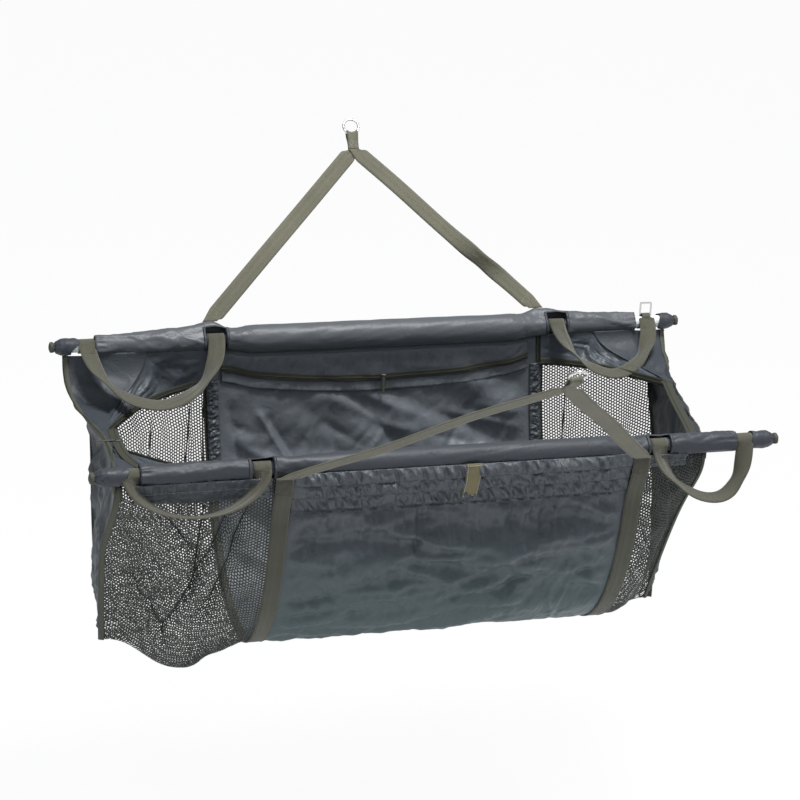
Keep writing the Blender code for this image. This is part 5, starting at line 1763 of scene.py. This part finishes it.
@dataclass
class Hanger:
    """Two webbing legs that meet in an eye round a steel ring."""

    line: PoleLine
    foot: tuple[float, float]
    ring: tuple[float, float, float]
    hanger_carrier: Carrier
    ring_carrier: Carrier
    ring_radius: float = 0.0145
    wire_radius: float = 0.0022
    eye_width: float = 0.0200
    neck: float = 0.0300
    foot_width: float = 0.0270
    box_rise: float = 0.019
    box_lift: float = 0.0013
    box_halves: tuple[float, float] = (0.0095, 0.0098)
    neck_halves: tuple[float, float] = (0.0070, 0.0058)
    neck_lift: float = 0.0030
    eye_overlap: float = 0.20
    bow: float = 0.0035
    twist_place: float = 0.30
    twist_spread: float = 0.09
    blend_length: float = 0.0220
    twist: float = 0.0

    def axes(self) -> tuple[Array, Array, float]:
        """Directions up the hanger and square to it, and the height from its feet to its ring."""
        rise = np.array([0, self.ring[1] - self.foot[0], self.ring[2] - self.foot[1]])
        height = float(np.linalg.norm(rise))
        up = rise / height
        return up, np.cross(ALONG, up), height

    def placed(self, x: Any, rise: Any, out: Any) -> Array:
        """Points from places across, up and out of the hanger's plane."""
        up, square, _ = self.axes()
        x, rise, out = np.broadcast_arrays(x, rise, out)
        base = np.array([0, *self.foot])
        return (base + x[..., None] * ALONG + rise[..., None] * up + out[..., None] * square)

    def build(self) -> None:
        """Makes the legs, the eye, the ring and the stitches."""
        name = self.line.name
        up, square, height = self.axes()
        wire = height - self.ring_radius
        rows: list[Array] = []
        for end, label in BOTH_ENDS:
            grid, box = self.leg(end, wire - self.neck - SIZES.fit_gap)
            # The hangers take the lighter copy of the webbing: painted light from above.
            sheet(f"{name}_hanger_webbing_{label}", grid, SIZES.webbing_thickness, LIT_HANGER_WEBBING,
                  self.hanger_carrier, f"{name}_hanger_{label}_leg")
            rows += box
        self.eye(wire)
        neck = self.placed(self.ring[0], wire - self.neck * 0.62, -self.neck_lift)
        cross = box_cross(neck, up, ALONG, *self.neck_halves)
        rows += cross + [row + square * self.neck_lift * 2 for row in cross]
        THREAD.sew(f"{name}_hanger_stitches", rows, [square] * len(rows), PALE_THREAD,
                   self.hanger_carrier)
        self.hook_ring()

    def leg(self, end: int, top: float) -> tuple[Array, list[Array]]:
        """One leg: a strip from its foot on the sleeve to the eye, narrowing at both ends.

        The right leg twists about its own middle line, most three tenths of the way up.

        Args:
            end: -1 at the left, 1 at the right.
            top: How high the leg's end is.

        Returns:
            Its grid, and the rows of stitches at its foot.
        """
        start = self.line.strap_place(end)
        run = np.array([self.ring[0] - start, top])
        length = float(np.linalg.norm(run))
        half_width = SIZES.webbing_width / 2
        square_to = np.array([run[1], -run[0]]) / length * half_width
        past = np.linspace(0, length, 121)
        low = eased(past / self.blend_length)[:, None]
        high = eased((length - past) / self.blend_length)[:, None]
        half = np.array([self.foot_width / 2, 0]) * (1 - low) + square_to * low
        half = np.array([self.eye_width / 2, 0]) * (1 - high) + half * high
        middle = np.array([start, 0]) + past[:, None] / length * run
        middle[0, 1] -= 0.0004
        out = end * (SIZES.webbing_thickness + SIZES.seam_gap) / 2 * eased(past / length * 2)
        bow = self.bow * np.sin(past / length * math.pi * 2.5 + end) * np.sin(past / length * math.pi)
        near = np.exp(-(((past / length - self.twist_place) / self.twist_spread) ** 2))
        turn = self.twist * near * (end > 0)
        share = np.linspace(-1, 1, 7)[None, :]
        x = middle[:, :1] + half[:, :1] * share * np.cos(turn)[:, None]
        rise = middle[:, 1:] + half[:, 1:] * share * np.cos(turn)[:, None]
        lean = half_width * share * np.sin(turn)[:, None]
        grid = self.placed(x, rise, (out + bow)[:, None] + lean)
        way, side = run / length, unit(half[6])
        foot = middle[0] + way * self.box_rise
        up, _, _ = self.axes()
        ahead = way[0] * ALONG + way[1] * up
        beside = side[0] * ALONG + side[1] * up
        centre = self.placed(foot[0], foot[1], self.box_lift)
        return grid, box_cross(centre, ahead, beside, *self.box_halves)

    def eye(self, wire: float) -> None:
        """The loop of webbing round the ring's wire, whose sides close in to the neck below."""
        share = np.linspace(-1, 1, 9)[:, None]
        x = self.ring[0] + self.eye_width / 2 * share
        sagitta = self.ring_radius - np.sqrt(self.ring_radius**2 - (self.eye_width / 2 * share) ** 2)
        size = self.wire_radius + 0.0006 + sagitta + SIZES.webbing_thickness / 2
        turn = np.linspace(-self.eye_overlap, math.pi + self.eye_overlap, 41)[None, :]
        loop_out, loop_rise = size * np.cos(turn), size * np.sin(turn)
        gone = np.linspace(0, 1, 16)[None, :]
        neck_out = SIZES.webbing_thickness / 2 + 0.0008
        near = neck_out + (size * math.cos(self.eye_overlap) - neck_out) * eased(gone**1.6)
        low = -self.neck + (self.neck - 0.004) * gone + (loop_rise[:, :1] + 0.004) * gone**2
        out = np.concatenate([near, loop_out[:, 1:-1], -near[:, ::-1]], 1)
        rise = np.concatenate([low, loop_rise[:, 1:-1], low[:, ::-1]], 1)
        sheet(f"{self.line.name}_eye_webbing", self.placed(x, wire + rise, out),
              SIZES.webbing_thickness, LIT_HANGER_WEBBING, self.hanger_carrier,
              f"{self.line.name}_hanger_eye")

    def hook_ring(self) -> None:
        """The steel ring: a circle of the ring's radius swept by a slightly flattened wire."""
        up, square, _ = self.axes()
        turn = (np.arange(96) * TAU / 96)[:, None]
        around = (np.arange(20) * TAU / 20)[None, :]
        size = self.ring_radius + self.wire_radius * np.cos(around)
        points = (np.array(self.ring) + (size * np.cos(turn))[..., None] * ALONG
                  + (size * np.sin(turn))[..., None] * up
                  + (self.wire_radius * np.sin(around) + 0 * turn)[..., None] * square)
        index = np.arange(96 * 20).reshape(96, 20)
        ahead, beside = np.roll(index, -1, 0), np.roll(index, -1, 1)
        faces = np.stack([index, ahead, np.roll(ahead, -1, 1), beside], -1).reshape(-1, 4)
        ring = closed_object(f"{self.line.name}_hook_ring", points.reshape(-1, 3), faces)
        dressed(ring, STEEL, self.ring_carrier, f"{self.line.name}_ring")


@dataclass
class Handle:
    """A carry handle: one strip wrapped round the pole at both ends, hanging in a loop."""

    name: str
    line: PoleLine
    end: int
    inner_place: float
    drop: float
    slope: float
    carrier: Carrier
    threaded: bool = False
    wrap: float = math.radians(316)
    roll: float = math.radians(24)
    twist: float = math.radians(34)
    skew: float = 0.0
    clip_wire: tuple[float, float] = (0.0030, 0.0020)
    clip_width: float = 0.0240
    clip_room: float = 0.0010
    order: float = 1.05
    twist_place: float = 0.72
    twist_spread: float = 0.26
    sway: float = 0.0030
    box_reach: float = 0.004
    box_lift: float = 0.0010
    box_halves: tuple[float, float] = (0.0090, 0.0100)

    def round_pole(self, x: float, threaded: bool) -> tuple[Array, Array]:
        """The strip's way round the pole at one place: its middle line and half widths."""
        s = SIZES
        fall, face, across, axis = self.directions()
        angle = np.linspace(self.wrap, 0, 61)[:-1]
        step = self.wrap / 18
        radius = s.wrap_radius / math.cos(step / 2) + 0 * angle
        half = s.webbing_width / 2 + 0 * angle
        if threaded:
            past = np.abs(angle - self.slope)
            tall = s.wrap_radius + math.hypot(*self.clip_wire) + s.fit_gap
            narrow = self.clip_width / 2 - self.clip_wire[0] - self.clip_room
            radius = radius + (tall - radius) * eased(1.25 - past / (2.5 * step))
            half = half + (narrow - half) * eased(2 - past / (2.5 * step))
        spoke = np.cos(angle)[:, None] * face - np.sin(angle)[:, None] * fall
        return axis + x * ALONG + radius[:, None] * spoke, half[:, None] * across

    def directions(self) -> tuple[Array, Array, Array, Array]:
        """Directions down the hanging strip, out of its face and across it, and the pole's axis."""
        fall = np.array([0, -math.cos(self.slope), -math.sin(self.slope)])
        face = np.array([0, -math.sin(self.slope), math.cos(self.slope)])
        return fall, face, np.cross(face, fall), np.array([0, self.line.axis_y, self.line.axis_z])

    def build(self) -> None:
        """Makes the strip and its sewn boxes.

        Between its wraps the strip's middle line is a superellipse of the handle's length and
        drop. Its width leans out of the fall's plane, most at two places a quarter of the way in.
        """
        s, end = SIZES, self.end
        fall, face, _, axis = self.directions()
        outer_x = end * s.handle_outer_place
        outer, outer_half = self.round_pole(outer_x, self.threaded)
        inner, inner_half = self.round_pole(self.inner_place, False)
        turn = np.linspace(0, math.pi, 121)
        swing = np.sign(np.cos(turn)) * np.abs(np.cos(turn)) ** self.order
        x = (outer_x + self.inner_place) / 2
        x = x + (outer_x - self.inner_place) / 2 * swing
        x = x + self.skew * end * np.sin(turn) ** 2
        hang = self.drop * np.sin(turn) ** self.order
        rest = s.wrap_radius / math.cos(self.wrap / 36)
        strip = axis + x[:, None] * ALONG + hang[:, None] * fall + rest * face
        tangent = unit(np.gradient(strip, axis=0))
        tangent[0], tangent[-1] = fall, -fall
        sides = sum(np.exp(-(((turn - place) / self.twist_spread) ** 2))
                    for place in (self.twist_place, math.pi - self.twist_place))
        roll = (self.roll * np.sin(turn) ** 0.7 + self.twist * sides)[:, None]
        half = (np.cross(face, tangent) * np.cos(roll) + end * np.sin(roll) * face) * s.webbing_width / 2
        sway = self.sway * np.sin(turn) * noise(turn * 1.7, 0.3, len(self.name))
        strip = strip + sway[:, None] * face
        centre = np.concatenate([outer, strip, inner[::-1]])
        halves = np.concatenate([outer_half, half, -inner_half[::-1]])
        # The handles take a darker copy of the webbing: painted shade.
        sheet(f"{self.name}_webbing", ribbon(centre, halves, 7), s.webbing_thickness, SHADED_HANDLE_WEBBING,
              self.carrier, self.name)
        rows, normals = [], []
        for at, way in ((3, 1), (-4, -1)):
            normal = unit(np.cross(tangent[at], half[at]))
            normal = -normal if normal @ face < 0 else normal
            for side in (1, -1):
                middle = strip[at] + tangent[at] * way * self.box_reach + normal * side * self.box_lift
                box = box_cross(middle, tangent[at], unit(half[at]), *self.box_halves)
                rows += box
                normals += [normal * side] * len(box)
        FINE_THREAD.sew(f"{self.name}_stitches", rows, normals, HANDLE_THREAD, self.carrier)


# Fittings kept from the CAD, light and camera


FITTINGS: dict[Finish, tuple[str, ...]] = {
    WHITE_PLASTIC: ("rear_pole", "front_pole"),
    FOAM: ("rear_float", "front_float"),
    BLACK_PLASTIC: ("rear_plug_left", "rear_plug_right", "front_plug_left", "front_plug_right",
                    "snap_button", "rear_zip_slider", "left_zip_slider"),
    STEEL: ("pole_clip",),
    BINDING: ("rear_zip_pull", "left_zip_pull"),
}


def dress_fittings() -> None:
    """Gives the fittings that stay as they are their finishes."""
    for finish, names in FITTINGS.items():
        for name in names:
            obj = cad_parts[name]
            obj.data.materials.clear()
            obj.data.materials.append(finish.material())
            LOG.info("%s keeps its shape", name)


@dataclass(frozen=True)
class Studio:
    """The fitted camera, the world, the lamps and the floor."""

    azimuth: float = math.radians(-16.5)
    elevation: float = math.radians(18.5)
    roll: float = math.radians(2.557)
    focal_pixels: float = 2371.46
    frame_pixels: float = 800.0
    distance: float = 4.15
    centre_pixels: tuple[float, float] = (409.668, 374.653)
    floor_height: float = -1.25
    floor_half: float = 40.0
    floor_glow: float = 0.94
    sensor: float = 36.0
    aim: tuple[float, float, float] = (0.0, -0.46, -0.5)

    def build(self) -> None:
        """Makes everything in the studio."""
        self.camera()
        self.world()
        self.lamps()
        self.floor()
        bpy.context.scene.view_settings.view_transform = "Standard"

    def camera(self) -> None:
        """Looks back along the fitted direction, rolled about it, with the fitted centre as shift."""
        a, e = self.azimuth, self.elevation
        back = np.array([math.sin(a) * math.cos(e), -math.cos(a) * math.cos(e), math.sin(e)])
        right = np.array([math.cos(a), math.sin(a), 0.0])
        up = np.cross(back, right)
        c, s = math.cos(self.roll), math.sin(self.roll)
        right, up = c * right + s * up, -s * right + c * up
        data = bpy.data.cameras.new("view")
        data.sensor_width = self.sensor
        data.lens = self.focal_pixels / self.frame_pixels * data.sensor_width
        data.shift_x = (self.frame_pixels / 2 - self.centre_pixels[0]) / self.frame_pixels
        data.shift_y = (self.centre_pixels[1] - self.frame_pixels / 2) / self.frame_pixels
        data.clip_end = 100.0
        matrix = np.eye(4)
        matrix[:3, :3] = np.stack([right, up, back], 1)
        matrix[:3, 3] = back * self.distance + SLING_PLACE
        camera = linked("view", data)
        camera.matrix_world = Matrix(matrix.tolist())
        bpy.context.scene.camera = camera

    def world(self) -> None:
        """A white backdrop for the eye and a softer light on the sling."""
        world = bpy.data.worlds.new("studio")
        bpy.context.scene.world = world
        world.use_nodes = True
        graph = Graph(world.node_tree)
        world.node_tree.nodes.clear()
        seen = graph.seen()
        soft = graph.node("ShaderNodeBackground", {"Color": (0.93, 0.96, 1.0, 1), "Strength": 0.43})
        white = graph.node("ShaderNodeBackground", {"Color": (1, 1, 1, 1), "Strength": 1.0})
        mix = graph.node("ShaderNodeMixShader", {0: seen, 1: soft.outputs[0], 2: white.outputs[0]})
        out = graph.node("ShaderNodeOutputWorld")
        world.node_tree.links.new(mix.outputs[0], out.inputs["Surface"])

    def lamps(self) -> None:
        """A soft key lamp from the front left, one like it from the right and a strong one above."""
        for name, place, size, power in (
            ("key", (-1.6, -3.4, 1.9), 1.6, 12.0),
            ("side", (2.8, -1.6, 1.4), 1.6, 12.0),
            ("top", (0.5, -1.1, 3.1), 1.1, 165.0),
        ):
            data = bpy.data.lights.new(name, "AREA")
            data.shape = "SQUARE"
            data.size = size
            data.energy = power
            aim = Vector(self.aim) - Vector(place)
            lamp = linked(name, data)
            lamp.location = place
            lamp.rotation_euler = aim.to_track_quat("-Z", "Y").to_euler()

    def floor(self) -> None:
        """A wide pale floor below the hanging sling, nearly white to the eye."""
        half, level = self.floor_half, self.floor_height
        corners = [(x * half, y * half, level) for x, y in ((-1, -1), (1, -1), (1, 1), (-1, 1))]
        mesh = bpy.data.meshes.new("floor")
        mesh.from_pydata(corners, [], [(0, 1, 2, 3)])
        obj = linked("floor", mesh)
        made = bpy.data.materials.new("pale_floor")
        made.use_nodes = True
        graph = Graph(made.node_tree)
        shader = made.node_tree.nodes["Principled BSDF"]
        graph.feed(shader, {"Base Color": (0.92, 0.92, 0.92, 1), "Roughness": 0.9,
                            "Specular IOR Level": 0.0})
        glow = graph.node("ShaderNodeEmission", {"Color": (1, 1, 1, 1), "Strength": 1.0})
        share = graph.math("MULTIPLY", graph.seen(), self.floor_glow)
        mix = graph.node("ShaderNodeMixShader", {0: share, 1: shader.outputs[0], 2: glow.outputs[0]})
        graph.feed(made.node_tree.nodes["Material Output"], {"Surface": mix.outputs[0]})
        mesh.materials.append(made)


def main() -> None:
    """Builds every sub-assembly in order."""
    logging.basicConfig(level=logging.INFO, format="%(name)s: %(message)s")
    Studio().build()
    for wall in (REAR_WALL, FRONT_WALL):
        Walls(wall).build()
    Sleeve(REAR, (-0.298, 0.352),
           Crumple(size=0.060, height=0.0035, seed=40, stretch=2.2, lean=0.3)).build()
    Sleeve(FRONT, (-0.316, 0.376),
           Crumple(size=0.055, height=0.0034, seed=47, stretch=2.4, lean=0.2)).build()
    left_crumple = Crumple(size=0.070, height=0.0085, seed=61, stretch=2.0, sharp=0.03, lean=1.3)
    left = EndCloth(-1, "left", left_crumple, 0.27, SIZES.mouth_level, 0.034)
    right_crumple = Crumple(size=0.070, height=0.0080, seed=66, stretch=1.9, sharp=0.03, lean=1.2)
    right = EndCloth(1, "right", right_crumple, 0.34, 0.064, 0.006)
    for piece in (
        left,
        right,
        CornerFlap("rear_left", left, REAR, 0.125, 1.02, 0.27, (0.070, -0.010), 81),
        CornerFlap("rear_right", right, REAR, 0.105, 1.02, 0.30, (0.045, -0.002), 84),
        CornerFlap("front_left", left, FRONT, 0.012, 1.30, 0.10, (-0.004, -0.004), 87),
        SleeveStrip("left", -1, 0.085, 1.90, 101),
        SleeveStrip("right", 1, 0.050, 1.70, 105),
        RearLining(),
        FrontBand(),
        Hanger(REAR, (0.2534699, 0.0325205), (0.0, 0.462, 0.338), Carrier.REAR_HANGER,
               Carrier.REAR_RING, twist=0.9),
        Hanger(FRONT, (-0.2644703, -0.0774107), (0.112, -0.532, 0.170), Carrier.FRONT_HANGER,
               Carrier.FRONT_RING),
        Handle("rear_handle_left", REAR, -1, -0.298, 0.134, math.radians(42), Carrier.REAR_LEFT),
        Handle("rear_handle_right", REAR, 1, 0.352, 0.115, math.radians(42), Carrier.REAR_RIGHT, True),
        Handle("front_handle_left", FRONT, -1, -0.316, 0.072, math.radians(80), Carrier.FRONT_LEFT,
               roll=math.radians(94), twist=0.0),
        Handle("front_handle_right", FRONT, 1, 0.376, 0.095, math.radians(80), Carrier.FRONT_RIGHT,
               roll=math.radians(66), twist=math.radians(20), skew=0.022),
    ):
        piece.build()
    dress_fittings()


if __name__ == "__main__":
    main()
